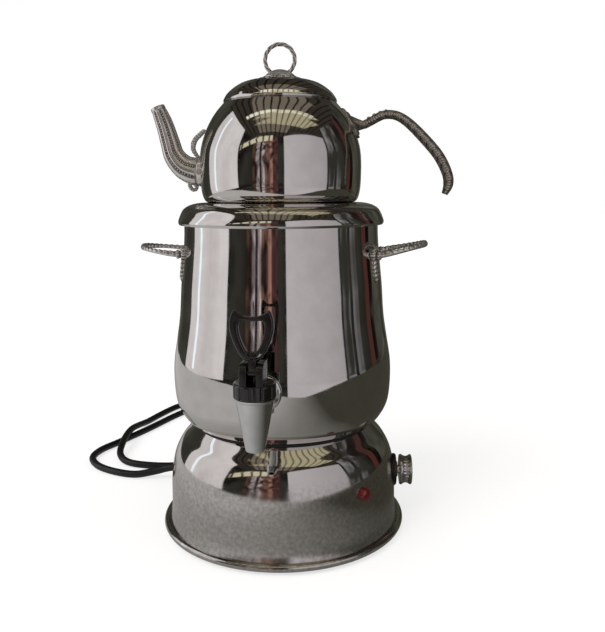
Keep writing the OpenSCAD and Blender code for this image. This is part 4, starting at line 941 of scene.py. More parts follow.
@dataclass
class MainsCord:
    """The mains lead with its strain relief and plug."""

    base: HeaterBase
    plug_r: float = 18.5
    plug_len: float = 54.0
    plug_x: float = 8.0
    plug_y: float = 342.0
    pin_gap: float = 19.0

    @property
    def plug_place(self) -> Matrix:
        """The placement of the plug, made along +Z from its neck, lying on the table along +X."""
        return Matrix.Translation((self.plug_x, self.plug_y, self.plug_r)) @ quarter_turn("Y")

    def route(self) -> Array:
        """Returns the cord's middle line, out of the base and round to the plug."""
        low, high, turn = self.base.cord_d / 2 + 0.1, self.base.relief_z, self.base.relief_turn
        start = self.base_wall + self.base.relief_len
        points = [
            polar(turn, start + 4, high), [-121, 68.9, high - 1.2], [-135, 71.5, 12.4], [-151, 72, 7.6],
            [-172, 71, low], [-198, 77, low], [-221, 91, low], [-236, 113, low], [-236, 138, low],
            [-225, 166, low], [-206, 217, low], [-186, 279, low], [-170, 308, low], [-142, 320, low],
            [-96, 316, low], [-40, 302, low], [16, 286, low], [62, 258, low], [84, 214, low], [66, 172, low],
            [16, 150, low], [-42, 138, low], [-92, 114, low], [-138, 99, low], [-170, 98, low],
            [-193, 105, 4.3], [-207, 122, 6.5], [-213, 146, 10.6], [-216.5, 170, 12.6], [-218.5, 194, 11.8],
            [-218.5, 218, 8.2], [-216, 244, 4.6], [-209, 278, low], [-198, 312, low], [-180, 340, low],
            [-152, 353, low], [-110, 353, low], [-70, 348, 5.5], [-35, 344, 13], [-12, 342, self.plug_r - 0.6],
            [4, 342, self.plug_r],
        ]
        ends = [polar(turn, start, high)], [[self.plug_x, self.plug_y, self.plug_r]]
        return np.vstack([ends[0], smooth_curve(points, 6), ends[1]])

    @property
    def base_wall(self) -> float:
        """Radius of the base's wall at the strain relief."""
        return self.base.wall_at(self.base.relief_z)

    def build(self) -> None:
        path = self.route()
        lead = Blank()
        lead.tube(path, self.base.cord_d / 2, 20)
        flex = lead.finish("mains_lead", "stand", Stock.FLEX, "power_cord")
        relief = self.relief()
        plug = self.plug()
        pins = self.pins()
        earth = self.earth()

    def relief(self) -> bpy.types.Object:
        """Builds the tapered rubber sleeve with its moulded ribs."""
        length, big, small = self.base.relief_len, self.base.relief_r, self.base.cord_d / 2 + 0.9
        line = [[0.01, -3.0], [big, -3.0], [big, 2.0]]
        step = (length - 4) / 5
        for k in range(5):
            z, r = 2 + step * k, big + (small - big) * k / 5
            line += [[r, z + 0.1], [r, z + 0.5 * step]]
            line += [[r - 0.75, z + 0.6 * step], [r - 0.75, z + 0.93 * step]]
        line += [[small, length - 1.9], [small, length - 0.3], [small - 0.3, length], [0.01, length]]
        made = Blank()
        made.turned(np.array(line), 64, outward(self.base.relief_turn, self.base_wall, self.base.relief_z))
        return made.finish("strain_relief_moulded", "stand", Stock.RUBBER, "strain_relief")

    def plug(self) -> bpy.types.Object:
        """Builds the moulded round plug with its grip and earth recesses."""
        r, length = self.plug_r, self.plug_len
        neck = [[0.01, 0.0], [5.0, 0.0], [5.4, 0.5]]
        for k in range(4):
            z = 1.0 + 3.2 * k
            neck += [[5.6 + 0.15 * k, z + 0.2], [5.6 + 0.15 * k, z + 1.7], [5.0 + 0.15 * k, z + 2.2],
                     [5.0 + 0.15 * k, z + 3.0]]
        body = smooth_curve([[6.6, 14.4], [9, 19], [14.0, 25], [17.0, 32], [r, 38], [r, length - 1.4]], 6)
        loop = np.vstack([neck, body, [[r - 0.2, length - 0.6], [r - 1.2, length], [0.01, length]]])

        def flats(turn: Array, out: Array, z: Array) -> tuple:
            """Pinches finger grips into the plug's two sides and cuts the earth channels."""
            side = np.abs(np.cos(turn))
            grip = np.clip((z - 16) / 6, 0, 1) * np.clip((40 - z) / 8, 0, 1) * side**6
            channel = np.clip((z - (length - 14.5)) / 0.8, 0, 1) * (side > math.cos(math.atan(4 / r)))
            ribs = 0.012 * grip * wave(z / 2.6)
            return out * (1 - 0.10 * grip - ribs - 0.20 * channel), z, 0 * z

        made = Blank()
        made.turned(even(np.vstack([loop, loop[:1]]), 0.65)[:-1], 160, self.plug_place, flats)
        return made.finish("plug_moulded", "stand", Stock.FLEX, "plug")

    def earth(self) -> bpy.types.Object:
        """Builds the two sprung brass earth strips at the plug's sides."""
        made = Blank()
        strip = box_loop(-3, 3, self.plug_len - 13.9, self.plug_len - 1.2)
        for turn in (0, math.pi):
            stand = Matrix.Rotation(turn, 4, "Z") @ Matrix.Translation((self.plug_r - 3.2, 0, 0))
            upright = quarter_turn("Z") @ quarter_turn("X")
            made.plate([strip], 0.9, 0.2, self.plug_place @ stand @ upright, 2)
        return made.finish("plug_earth_strips", "stand", Stock.BRASS, "plug_earth")

    def pins(self) -> bpy.types.Object:
        """Builds the two plug pins with their rounded tips."""
        made = Blank()
        tip = quarter_oval((0, 16.9), 2.4, 2.1, 8)
        line = np.array([[0.01, -7.5], [2.0, -7.5], [2.0, 0], [2.4, 0], *tip, [0.01, 19.0]])
        for s in (-1, 1):
            aside = Matrix.Translation((0, s * self.pin_gap / 2, 0))
            made.turned(line + [0, self.plug_len], 40, aside @ self.plug_place)
        return made.finish("plug_pins_plated", "stand", Stock.CHROME, "plug_pins")


@dataclass
class Insides:
    """The leads inside the base and the thermostat's bulb, under the urn's floor."""

    jacket_r: float = 2.6
    lead_r: float = 1.4
    tube_r: float = 1.0
    bulb_r: float = 3.0
    bulb_len: float = 50.0
    bulb_x: float = 36.0
    bulb_z: float = 95.45

    @staticmethod
    def run(points: Sequence[Sequence[float]], steps: int = 8) -> Array:
        """Returns a lead's middle line, straight at its two ends and smooth between them."""
        p = np.asarray(points, float)
        return np.vstack([p[:1], smooth_curve(p[1:-1], steps), p[-1:]])

    def build(self) -> None:
        """Builds the cord's inner end, the four sleeved leads, and the bulb with its tube."""
        jacket = Blank()
        jacket.tube(self.run([[-86.54, 49.96, 17], [-83.08, 47.96, 17], [-67, 29.1, 13.5], [-64, 19.1, 13.5],
                              [-64, 15.1, 13.5]]), self.jacket_r, 20)
        jacket.finish("inner_wiring_jacket", "stand", Stock.FLEX, "inner_wiring")
        leads = Blank()
        for points in (
            [[-64, -15.1, 13.5], [-64, -19, 13.5], [-51.19, -56.85, 20], [-17.86, -74.39, 25.5],
             [19.8, -73.89, 31], [52.66, -55.49, 36.5], [72.76, -23.64, 42], [74.23, 0.47, 42],
             [78.1, 0.81, 42]],
            [[-59, 15.1, 17.5], [-59, 19.1, 17.5], [-44.91, 30.04, 38.15], [-24.77, 43.67, 63.65],
             [-18.73, 46.36, 72.5], [-18.73, 46.36, 76.4]],
            [[76.7, 16.75, 47], [71.84, 16.32, 47], [47.72, 27.55, 57.75], [24.53, 43.4, 65.55],
             [18.73, 46.36, 72.5], [18.73, 46.36, 76.4]],
            [[57.38, -49.88, 54], [52.85, -45.94, 54], [62.72, -27.82, 51.5], [72.58, -3.69, 49],
             [78.44, -3.17, 49]],
        ):
            line = even(self.run(points), 0.8)
            # Woven glass sleeve: a low swell where the strands cross, 2 mm apart
            sizes = self.lead_r * (1 - 0.04 * wave(np.arange(len(line)) * 0.8 / 2.0))
            leads.tube(line, sizes, 16)
        leads.finish("inner_wiring_sleeved_leads", "stand", Stock.SLEEVE, "inner_wiring")
        sensor = Blank()
        sensor.tube(self.run([[77.6, 6.79, 55], [75.64, 6.79, 55], [69.64, 9.79, 57], [53.82, 21.9, 68.23],
                              [46.33, 34.16, 84.36], [38, 36, 93.45], [36, 31, 95.45], [36, 27, 95.45],
                              [36, 24, 95.45]], 12), self.tube_r, 12)
        half = self.bulb_len / 2
        ends = quarter_oval((self.bulb_r - 0.8, half - 0.8), 0.8, 0.8, 6)[::-1]
        section = np.array([[0.01, half], *ends, *[[r, -z] for r, z in ends[::-1]], [0.01, -half]])
        lying = Matrix.Translation((self.bulb_x, 0, self.bulb_z)) @ Matrix.Rotation(math.radians(-90), 4, "X")
        sensor.turned(section, 48, lying)
        sensor.finish("sensor_bulb_and_tube", "stand", Stock.SATIN, "sensor_tube")


# ---- Urn, ring lid and side handles ----


@dataclass
class Urn:
    """The tall spun urn with its rim."""

    floor_r: float = 79.5
    belly_r: float = 96.8
    belly_h: float = 40.0
    wall: float = 0.9
    rim_w: float = 1.6

    def outline(self) -> Array:
        """Returns the outside of the urn's wall, from the floor to the rim."""
        low = [[0.03, 0], [0.43, 0.11], [0.82, 0.39], [0.945, 0.62], [1, 1]]
        high = [[0.045, 0.116], [0.3, 0.256], [0.53, 0.396], [0.67, 0.572], [0.83, 0.712], [0.977, 0.867],
                [1, 1]]
        neck_h = STACK.urn_h - self.belly_h
        swell, narrowing = self.belly_r - self.floor_r, self.belly_r - STACK.neck_r
        points = [[self.floor_r + swell * a, STACK.urn_z + self.belly_h * b] for a, b in low]
        points += [[self.belly_r - narrowing * a, STACK.urn_z + self.belly_h + neck_h * b] for a, b in high]
        return faired(points, rounds=24)

    def wall_at(self, z: float | Array) -> Array:
        """Returns the wall's outer radius at a height."""
        line = self.outline()
        return np.interp(z, line[:, 1], line[:, 0])

    def build(self) -> None:
        """Builds the urn."""
        made = Blank()
        made.turned(sheet_loop(self.outline(), self.wall), 256)
        made.turned(box_loop(0.01, self.floor_r + 0.5, STACK.urn_z, STACK.urn_z + self.wall))
        rim = STACK.neck_r + self.rim_w - 0.45
        made.turned(np.array([rim, STACK.rim_z - 0.45]) + oval(0.45, 0.45, 16))
        made.turned(box_loop(STACK.neck_r - 0.5, rim, STACK.rim_z - self.wall, STACK.rim_z))
        made.finish("urn_spun", "stand", Stock.MIRROR, "urn")


@dataclass
class RingLid:
    """The spun ring that closes the urn's neck and carries the teapot."""

    drop: float = 8.4
    flare: float = 2.1
    steam_r: float = 56.0
    wall: float = 0.9
    rim_w: float = 1.6

    def build(self) -> None:
        """Builds the ring lid with its hem, seat, spigot and steam hole."""
        edge = STACK.neck_r + self.rim_w + STACK.slide_gap + self.wall
        out, flat, rim, h = edge + self.flare, STACK.pot_floor_r + 8, STACK.rim_z, STACK.ring_h
        slope = edge - flat
        skirt = faired(
            [
                [out - 1, rim - self.drop], [out, rim - self.drop + 1.6], [out - 0.4, rim - 0.5 * self.drop],
                [edge, rim], [edge - 0.16 * slope, rim + 0.48 * h], [edge - 0.46 * slope, rim + 0.8 * h],
                [edge - 0.8 * slope, rim + 0.96 * h], [flat, STACK.pot_z],
            ],
            0.45, 8)
        lip = quarter_oval((self.steam_r + 1.2, STACK.pot_z - 1.2), -1.2, 1.2, 8)[::-1]
        line = np.vstack([skirt, [[flat - 6, STACK.pot_z]], lip, [[self.steam_r, STACK.pot_z - 6]]])
        made = Blank()
        made.turned(sheet_loop(line, self.wall), 256)
        hem = skirt[1] + np.array([-0.75, 0.15])
        made.turned(hem + oval(0.72, 0.72, 20), 256)
        spigot = STACK.neck_r - 0.9 - STACK.slide_gap
        made.turned(box_loop(spigot - self.wall, STACK.neck_r + self.rim_w + 0.3, rim, rim + self.wall))
        made.turned(box_loop(spigot - self.wall, spigot, rim - 14, rim + 3))
        made.finish("ring_lid_spun", "ring_cover", Stock.MIRROR, "ring_lid")


class Side(Enum):
    """The two urn handles: the turn round the urn and the tilt, in degrees."""

    LEFT = (180.0, 7.0)
    RIGHT = (0.0, 12.0)


@dataclass
class UrnHandle:
    """A cast D shaped handle with rosettes and leaf legs."""

    urn: Urn
    side: Side
    reach: float = 42.0
    half: float = 25.0
    bar: float = 5.6
    height_up: float = 149.0

    def build(self) -> None:
        """Builds the rail, the beads inside it, the feet and the legs."""
        turn, tilt = self.side.value
        height = STACK.urn_z + self.height_up
        wall = float(self.urn.wall_at(height))
        foot_turn = math.asin(self.half / wall)
        fx, fy = (wall + 3) * math.cos(foot_turn), (wall + 3) * math.sin(foot_turn)
        tip = wall + self.reach - self.bar / 2
        right = [[fx, fy], [fx + 0.3 * (tip - fx), fy + 2.5], [fx + 0.66 * (tip - fx), fy - 2.5],
                 [fx + 0.92 * (tip - fx), fy - 14]]
        flat = [[x, -y] for x, y in right] + [[tip, 0]] + right[::-1]
        rise = math.tan(math.radians(tilt))
        path = even(smooth_curve([[x, y, height + (x - fx) * rise] for x, y in flat], 10), 0.5)
        spin = Matrix.Rotation(math.radians(turn), 4, "Z")
        path = moved(path, spin)
        run = run_along(path)
        middle = np.abs(run / run[-1] - 0.5) * 2
        # The rail is heaviest at its middle and at the feet
        wide = self.bar / 2 * (0.86 + 0.14 * np.cos(math.pi * 2 * middle))
        line = np.column_stack([path, wide, wide * 0.86])

        def rope(t: Array, s: Array, thick: Array) -> tuple:
            """Carves slanting leaf edges into the rail, shallower at its underside."""
            lobes = wave(s / 5.0 + 0.18 * np.cos(t))
            veins = wave(s / 2.5 + 0.5) * 0.35
            seen = 0.55 + 0.45 * np.clip(np.cos(t), -1, 1)
            deep = (lobes**2 + veins) * seen
            return 0.42 * deep, np.clip(0.9 * deep, 0, 1)

        made = Blank()
        made.bar(line, rope, 32, (0, 0, 1))
        # A pearl in each of the rail's notches, on its inner side
        centre = np.array(moved(np.array([[fx + 8, 0, height]]), spin))[0]
        for s in np.arange(7.5, run[-1] - 7.5, 5.0):
            at = np.array([np.interp(s, run, path[:, k]) for k in range(3)])
            inward = centre - at
            inward[2] = 0
            inward /= np.linalg.norm(inward)
            at = at + inward * (self.bar / 2 + 0.35)
            at[2] -= 0.3
            made.pearl(at, 1.35, 0.9)
        for f in (-1, 1):
            place = outward(turn + f * math.degrees(foot_turn), wall, height)
            made.turned(self.rosette(), 72, place, self.petals)
            self.leg(made, turn + f * math.degrees(foot_turn), height)
        node = "left_handle" if self.side is Side.LEFT else "right_handle"
        made.finish(node + "_cast", "stand", Stock.CAST, node, 32)

    @staticmethod
    def rosette() -> Array:
        """Returns the section of a foot's stepped rosette."""
        return np.array([[0.01, -0.8], [4.9, -0.8], [4.9, 0.6], [4.6, 1.6], [4.0, 2.2], [3.2, 2.5],
                         [3.3, 3.4], [3.9, 4.4], [3.9, 5.2], [3.4, 6.0], [2.2, 6.6], [0.01, 6.9]])

    @staticmethod
    def petals(t: Array, r: Array, z: Array) -> tuple:
        """Cuts eight petals into the rosette's rim."""
        near = np.clip((r - 2.6) / 1.6, 0, 1)
        deep = near * wave(8 * t / (2 * math.pi)) ** 2
        return r * (1 - 0.13 * deep), z, np.clip(deep + (r < 3.6) * (z < 3.6) * 0.8, 0, 1)

    def leg(self, made: Blank, turn: float, height: float) -> None:
        """Adds a leaf that lies down the wall under a foot, with a raised middle rib.

        Args:
            made: The handle that it is cast on.
            turn: Its turn round the urn in degrees.
            height: The foot's height.
        """
        outline = smooth_curve([[0.05, -24], [3, -18], [4.4, -10], [3, -2], [4.6, 3], [0.05, 7]], 10)
        rows = []
        dark = []
        for z in np.linspace(-23.9, 6.9, 56):
            wide = float(np.interp(z, outline[:, 1], outline[:, 0]))
            u = np.linspace(-1, 1, 25)
            slope = 1 - np.abs(u)
            high = 1.9 * np.clip(slope * 4, 0, 1) ** 0.6 * min(1.0, wide / 2.2)
            vein = wave((z + 2.6 * np.abs(u)) / 3.6) ** 2 * (np.abs(u) > 0.16)
            high = high - 0.45 * vein * min(1.0, wide / 2.2)
            wall = float(self.urn.wall_at(height + z))
            front = np.stack([wall + high, u * wide, np.full_like(u, height + z)], axis=1)
            back = np.stack([np.full_like(u, wall - 0.15), u * wide, np.full_like(u, height + z)], axis=1)
            section = np.vstack([front, back[::-1]])
            rows.append(moved(section, Matrix.Rotation(math.radians(turn), 4, "Z")))
            dark.append(np.concatenate([np.clip(vein + (np.abs(u) > 0.93) * 0.5, 0, 1), np.ones_like(u)]))
        made.rings(np.array(rows), np.array(dark))


# ---- Tap ----


@dataclass
class Tap:
    """The sprung tap: satin body, black bonnet and the black ring lever."""

    urn: Urn
    reach: float = 135.0
    shank_up: float = 48.5
    shank_r: float = 7.4
    top_r: float = 14.9
    outlet_r: float = 7.25
    height: float = 40.5
    bonnet_h: float = 11.2
    bonnet_r: float = 15.5
    yoke_w: float = 17.0
    slot_w: float = 6.8
    ear_r: float = 7.0
    plate_r: float = 14.2
    lever_t: float = 6.0
    spring_r: float = 4.6
    spring_wire: float = 0.9
    spring_turns: int = 4

    @property
    def shank_z(self) -> float:
        """Height of the shank's axis."""
        return STACK.urn_z + self.shank_up

    @property
    def top(self) -> float:
        """Height of the body's rim."""
        return self.shank_z + self.shank_r + 0.5

    @property
    def roof_z(self) -> float:
        """Height of the underside of the bonnet's roof, which the spring pushes on."""
        return self.top + self.bonnet_h - 2

    @property
    def pivot(self) -> tuple[float, float]:
        """The lever pin's y and z."""
        return -self.reach - self.ear_r, self.top + self.bonnet_h + 8.6

    def along_shank(self, y: float) -> Matrix:
        """Returns the placement along the shank, out from the urn's middle."""
        return Matrix.Translation((0, -y, self.shank_z)) @ quarter_turn("X")

    def build_body(self) -> None:
        """Builds the tapered body, the shank and the dished cover plate."""
        top, low = self.top, self.top - self.height
        seat = self.shank_z - self.shank_r
        bore, hollow = self.outlet_r - 2.25, self.shank_r + 0.2
        out, rim = self.outlet_r, self.top_r
        line = [[bore, low + 0.5], [bore + 0.5, low], [out - 0.7, low], [out - 0.2, low + 0.2]]
        line += [[out, low + 0.7]]
        line += [[out + (rim - 0.9 - out) * k, low + 0.7 + (self.height - 3.1) * k]
                 for k in np.linspace(0.04, 1, 20)]
        line += [[rim - 0.35, top - 2.05], [rim, top - 1.5], [rim, top - 0.25], [rim - 0.25, top],
                 [hollow + 1.5, top], [hollow + 1.3, top - 0.2], [hollow + 1.3, top - 5], [hollow, top - 5],
                 [hollow, seat], [bore, seat]]
        made = Blank()
        made.turned(np.array(line), 160, Matrix.Translation((0, -self.reach, 0)))
        made.finish("tap_body_cast", "stand", Stock.TAP, "tap_body")
        shank = Blank()
        wall = float(self.urn.wall_at(self.shank_z))
        start, stop = wall - 11.3, self.reach - hollow - 2.3
        # Rolled thread inside the urn and behind the plate
        pitch, deep = 1.5, 0.45
        crest = []
        for y in np.arange(start, stop, 0.25):
            cut = deep * abs(((y - start) / pitch) % 1 - 0.5) * 2 * (y < wall + 6)
            crest.append([self.shank_r - cut, y - start])
        loop = np.array([[4.4, 0], *crest, [self.shank_r, stop - start], [4.4, stop - start]])
        shank.turned(loop, 72, self.along_shank(start))
        shank.finish("tap_shank_threaded", "stand", Stock.TAP, "tap_shank")
        plate = Blank()
        r = self.plate_r
        dish = smooth_curve([[r - 0.3, 0.0], [r, 0.5], [r - 0.2, 1.1], [r - 1.4, 2.15], [r - 2.6, 1.95],
                             [r - 4, 1.6], [r - 5, 1.55], [r - 6, 1.8], [self.shank_r + 1.6, 3.6],
                             [self.shank_r + 0.6, 4.4], [self.shank_r, 4.45]], 6)
        plate.turned(np.vstack([[[self.shank_r, 0]], dish]), 128, self.along_shank(wall + 2.2))
        plate.finish("tap_cover_plate_pressed", "stand", Stock.CHROME, "tap_plate")

    def build_bonnet(self) -> None:
        """Builds the black bonnet nut and the yoke that holds the lever."""
        h, r, top = self.bonnet_h, self.bonnet_r, self.top
        py, pz = self.pivot

        def notches(t: Array, out: Array, z: Array) -> tuple:
            """Cuts twelve rounded grip notches between the nut's two rims."""
            inside = np.clip((z - 0.4) / 0.8, 0, 1) * np.clip((h - 1.0 - z) / 0.8, 0, 1) * (out > r - 2)
            around = np.abs(((12 * t / (2 * math.pi)) + 0.5) % 1 - 0.5) * 2
            scoop = np.clip(1 - (around / 0.32) ** 2, 0, 1) ** 0.5
            return out - 0.85 * inside * scoop, z, 0 * z

        made = Blank()
        side = [[r - 0.55, 0.0], [r - 0.15, 0.15], [r, 0.6]]
        side += [[r, z] for z in np.arange(1.0, h - 1.7, 0.35)]
        side += [[r, h - 1.5], [r - 0.3, h - 0.7], [r - 0.8, h - 0.25], [r - 1.6, h]]
        loop = np.array([[8.8, 0.0], *side, [2.06, h], [2.06, h - 2], [7.6, h - 2], [7.6, -4.8], [8.8, -4.8]])
        made.turned(loop, 240, Matrix.Translation((0, -self.reach, top)), notches)
        low = top + h - 0.2
        e = self.ear_r
        arc = quarter_oval((py, pz), -e, e, 14)
        ear = np.array([[py - e, low], [py + e + 8, low], [py + e + 8, pz + e], *arc[::-1]])
        thick = (self.yoke_w - self.slot_w) / 2
        across = quarter_turn("Z") @ quarter_turn("X")
        for s in (-1, 1):
            place = Matrix.Translation((s * (self.slot_w + thick) / 2, 0, 0)) @ across
            made.plate([ear], thick, 0.55, place, 3)
        back = box_loop(py + e + 3.1, py + e + 8, low, pz + e)
        made.plate([back], self.yoke_w, 0.55, across, 3)
        made.finish("tap_bonnet_moulded", "stand", Stock.PHENOLIC, "tap_bonnet", 35)
        pin = Blank()
        half = self.yoke_w / 2
        section = np.array([[0.01, -half], [1.2, -half], [1.5, 0.3 - half], [1.5, half - 0.3], [1.2, half],
                            [0.01, half]])
        pin.turned(section, 40, Matrix.Translation((0, py, pz)) @ quarter_turn("Y"))
        pin.finish("lever_pin_turned", "stand", Stock.SATIN, "lever_pin")

    def build_lever(self) -> None:
        """Builds the ring lever with its horns, web and crank."""
        py, pz = self.pivot
        outer = smooth_curve([[2.6, 8.2], [6.6, 10.4], [9.8, 14.6], [12.8, 21], [15.1, 28], [15.75, 33.5],
                              [15.1, 39.5], [12.9, 44.2], [9.8, 42.8], [5, 40.4], [0, 39.7]], 8)
        inner = smooth_curve([[0, 14.4], [3.6, 15.6], [6.6, 20.8], [8.8, 27.5], [9.4, 33], [8.7, 36],
                              [6, 37.2], [0, 36.8]], 8)

        def whole(half: Array) -> Array:
            """Joins an outline's right half to its mirror image.

            Args:
                half: The half, which ends on the middle line and may start on it.

            Returns:
                The closed outline, with no point twice.
            """
            left = (half * [-1, 1])[::-1][1:]
            return np.vstack([half, left[:-1] if half[0, 0] == 0 else left])

        face = Matrix.Translation((0, py, pz)) @ quarter_turn("X")
        made = Blank()
        cut = np.array([[0, 8.9], [2.9, 13.0], [-2.9, 13.0]])
        made.plate([whole(outer), whole(inner), cut], self.lever_t, 1.5, face, 5)
        made.plate([cut * [1.06, 1] + [0, -0.1]], self.lever_t - 2, 0.3, face, 1)
        made.plate([box_loop(-2.95, 2.95, -1.0, 9.0)], self.lever_t - 0.1, 0.5, face, 2)
        across = Matrix.Translation((0, py, pz)) @ quarter_turn("Y")
        hub = np.array([[1.55, -3.0], [3.1, -3.0], [3.4, -2.7], [3.4, 2.7], [3.1, 3.0], [1.55, 3.0]])
        made.turned(hub, 48, across)
        side = Matrix.Translation((0, py, pz)) @ quarter_turn("Z") @ quarter_turn("X")
        turns = np.linspace(0.3, math.pi - 0.3, 12)
        nose = [[self.ear_r + 1.5 * math.sin(a), 1.5 * math.cos(a)] for a in turns]
        made.plate([np.array([[1.6, 1.0], *nose, [1.6, -1.0]])], 5.6, 0.3, side, 2)
        made.finish("tap_lever_moulded", "lever", Stock.PHENOLIC, "tap_lever", 35)

    def build_spring(self) -> None:
        """Builds the return spring at its rest length; the real one shortens when the stem lifts, and this one
        keeps its length.
        """
        low = self.top - 0.5 + self.spring_wire / 2 + 0.05
        high = self.roof_z - self.spring_wire / 2 - 0.05
        t = np.linspace(0, 1, self.spring_turns * 40)
        turn = 2 * math.pi * self.spring_turns * t
        path = np.stack([self.spring_r * np.cos(turn), self.spring_r * np.sin(turn) - self.reach,
                         low + (high - low) * t], axis=1)
        made = Blank()
        made.tube(path, self.spring_wire / 2, 10)
        spring = made.finish("tap_spring_wound", "stand", Stock.SATIN, "tap_spring")
        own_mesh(spring)

    def build(self) -> None:
        """Builds the whole tap."""
        self.build_body()
        self.build_bonnet()
        self.build_lever()
        self.build_spring()
        dress_nodes({"tap_gasket": Stock.RUBBER, "tap_nut": Stock.BRASS, "tap_stem": Stock.SATIN,
                     "seat_cup": Stock.RUBBER})


# ---- Teapot ----


@dataclass
class Teapot:
    """The spun teapot with its cast spout and handle."""

    pot_r: float = 69.2
    wall: float = 0.8
    corner_h: float = 24.0
    straight_h: float = 34.0
    spout_z: float = 26.5
    spout_reach: float = 38.8
    spout_rise: float = 55.5
    spout_root_r: float = 12.6
    spout_tip_r: float = 6.2
    flutes: int = 8
    grip_z: float = 62.0
    handle_reach: float = 80.0
    handle_drop: float = 55.3
    half_w: float = 7.0

    def outline(self) -> Array:
        """Returns the outside of the pot's wall, from its bottom to its mouth."""
        shoulder = STACK.mouth_r + 2.8
        low = [[0, 0], [0.36, 0.03], [0.6, 0.125], [0.8, 0.31], [0.94, 0.58], [1, 1]]
        high = [[0, 0], [0.03, 0.18], [0.11, 0.34], [0.256, 0.52], [0.447, 0.686], [0.676, 0.836],
                [0.93, 0.964], [1, 1]]
        floor, z = STACK.pot_floor_r, STACK.pot_z
        dome_h = STACK.pot_h - self.straight_h
        points = [[floor + (self.pot_r - floor) * a, z + self.corner_h * b] for a, b in low]
        r, top = self.pot_r, z + self.straight_h
        points += [[r - (r - shoulder) * a, top + dome_h * b] for a, b in high]
        return faired(points, 0.7, 10)

    def wall_at(self, z: float | Array) -> Array:
        """Returns the wall's outer radius at a height."""
        line = self.outline()
        return np.interp(z, line[:, 1], line[:, 0])

    def build_body(self) -> None:
        """Builds the pot with its bottom, mouth rim and turned down lip."""
        made = Blank()
        made.turned(sheet_loop(self.outline(), self.wall), 256)
        made.turned(box_loop(0.01, STACK.pot_floor_r, STACK.pot_z, STACK.pot_z + self.wall))
        mouth, top = STACK.mouth_r, STACK.mouth_z
        rim = np.array([[2.6, -0.8], [2.8, -0.4], [2.5, 0], [0.6, 0], [0.15, -0.3], [0, -0.9], [0, -4],
                        [0.8, -4], [0.8, -0.8]])
        made.turned(rim + [mouth, top])
        made.finish("teapot_spun", "teapot", Stock.MIRROR, "teapot_body")

    def on_wall(self, points: Array, side: int) -> Array:
        """Moves points along X on to the pot's wall, on its left or right side."""
        out = np.sqrt(self.wall_at(points[:, 2]) ** 2 - points[:, 1] ** 2)
        return np.stack([side * out, points[:, 1], points[:, 2]], axis=1)

    def build_spout(self) -> None:
        """Builds the fluted spout with its beads, scroll and bud."""
        root = float(self.wall_at(STACK.pot_z + self.spout_z))
        root_z = STACK.pot_z + self.spout_z
        course = [[0, 0], [0.175, 0.009], [0.433, 0.081], [0.64, 0.243], [0.735, 0.459], [0.807, 0.64],
                  [0.884, 0.802], [1, 1]]
        sizes = [1, 0.93, 0.72, 0.5, 0.375, 0.28, 0.19, 0]
        taper = self.spout_root_r - self.spout_tip_r
        rows = [[-root - self.spout_reach * a, 0, root_z + self.spout_rise * b, self.spout_tip_r + taper * k]
                for (a, b), k in zip(course, sizes)]
        line = even(smooth_curve(rows, 14), 0.55)
        path, size = line[:, :3], line[:, 3]
        sides = 128
        t = 2 * math.pi * np.arange(sides) / sides
        run = run_along(path)
        total = run[-1]
        groove = wave(self.flutes * t / (2 * math.pi)) ** 2.6
        shapes, dark = [], []
        for r, s in zip(size, run):
            # The flutes fade out in a plain collar at the root and a plain lip at the tip
            fade = np.clip((s - 2.2) / 3.0, 0, 1) * np.clip((total - 2.6 - s) / 2.5, 0, 1)
            collar = 0.55 * np.exp(-(((s - 3.4) / 0.55) ** 2))
            collar += 0.45 * np.exp(-(((total - s - 3.4) / 0.5) ** 2))
            cut = 1.15 * groove * fade + collar
            shapes.append(((r - cut)[:, None]) * np.stack([np.cos(t), np.sin(t)], axis=1))
            dark.append(np.clip(1.1 * groove * fade + collar, 0, 1))
        outer = swept(path, shapes, (0, 1, 0))
        inner = swept(path, [oval(r - 2.5, r - 2.5, sides) for r in size], (0, 1, 0))
        outer[0] = self.on_wall(outer[0], -1)
        inner[0] = self.on_wall(inner[0], -1)
        made = Blank()
        made.rings(np.concatenate([outer, inner[::-1]]),
                   np.concatenate([np.array(dark), np.full(inner.shape[:2], 0.7)]), loop=True)
        # Pearls down every groove
        side_way, up_way = carried_sides(path, (0, 1, 0))
        for k in range(self.flutes):
            a = 2 * math.pi * (k + 0.5) / self.flutes
            for s in np.arange(7.0, total - 6.5, 2.3):
                i = int(np.searchsorted(run, s))
                out = math.cos(a) * side_way[i] + math.sin(a) * up_way[i]
                made.pearl(path[i] + (size[i] - 0.95) * out, 0.52 + 0.022 * size[i], 1.0, 8)
        at = [-root, root_z]
        scroll = [[-3.9, 33.9, 1.2], [-2.0, 34.6, 1.9], [1.5, 31.8, 2.2], [6.0, 27.4, 2.3], [8.0, 20.7, 2.2],
                  [6, 15.6, 1.9], [2.6, 11.8, 1.5]]
        bud = [[12.4, -8.8, 1.5], [11.8, -12.5, 1.9], [9.4, -15.2, 1.8], [6.3, -14.8, 1.5], [4.6, -12.0, 1.0]]
        for branch in (scroll, bud):
            rows = even(smooth_curve([[at[0] - x, 0, at[1] + z, r, r] for x, z, r in branch], 12), 0.3)
            made.bar(rows, lambda a, s, h: (0.25 * wave(s / 2.6) ** 2, 0.7 * wave(s / 2.6) ** 2), 24)
        made.pearl([at[0] - 7.6, 0, at[1] + 24.6], 2.4)
        made.pearl([at[0] - 6.2, 0, at[1] - 12.2], 1.9)
        made.finish("teapot_spout_cast", "teapot", Stock.CAST, "teapot_spout", 45)

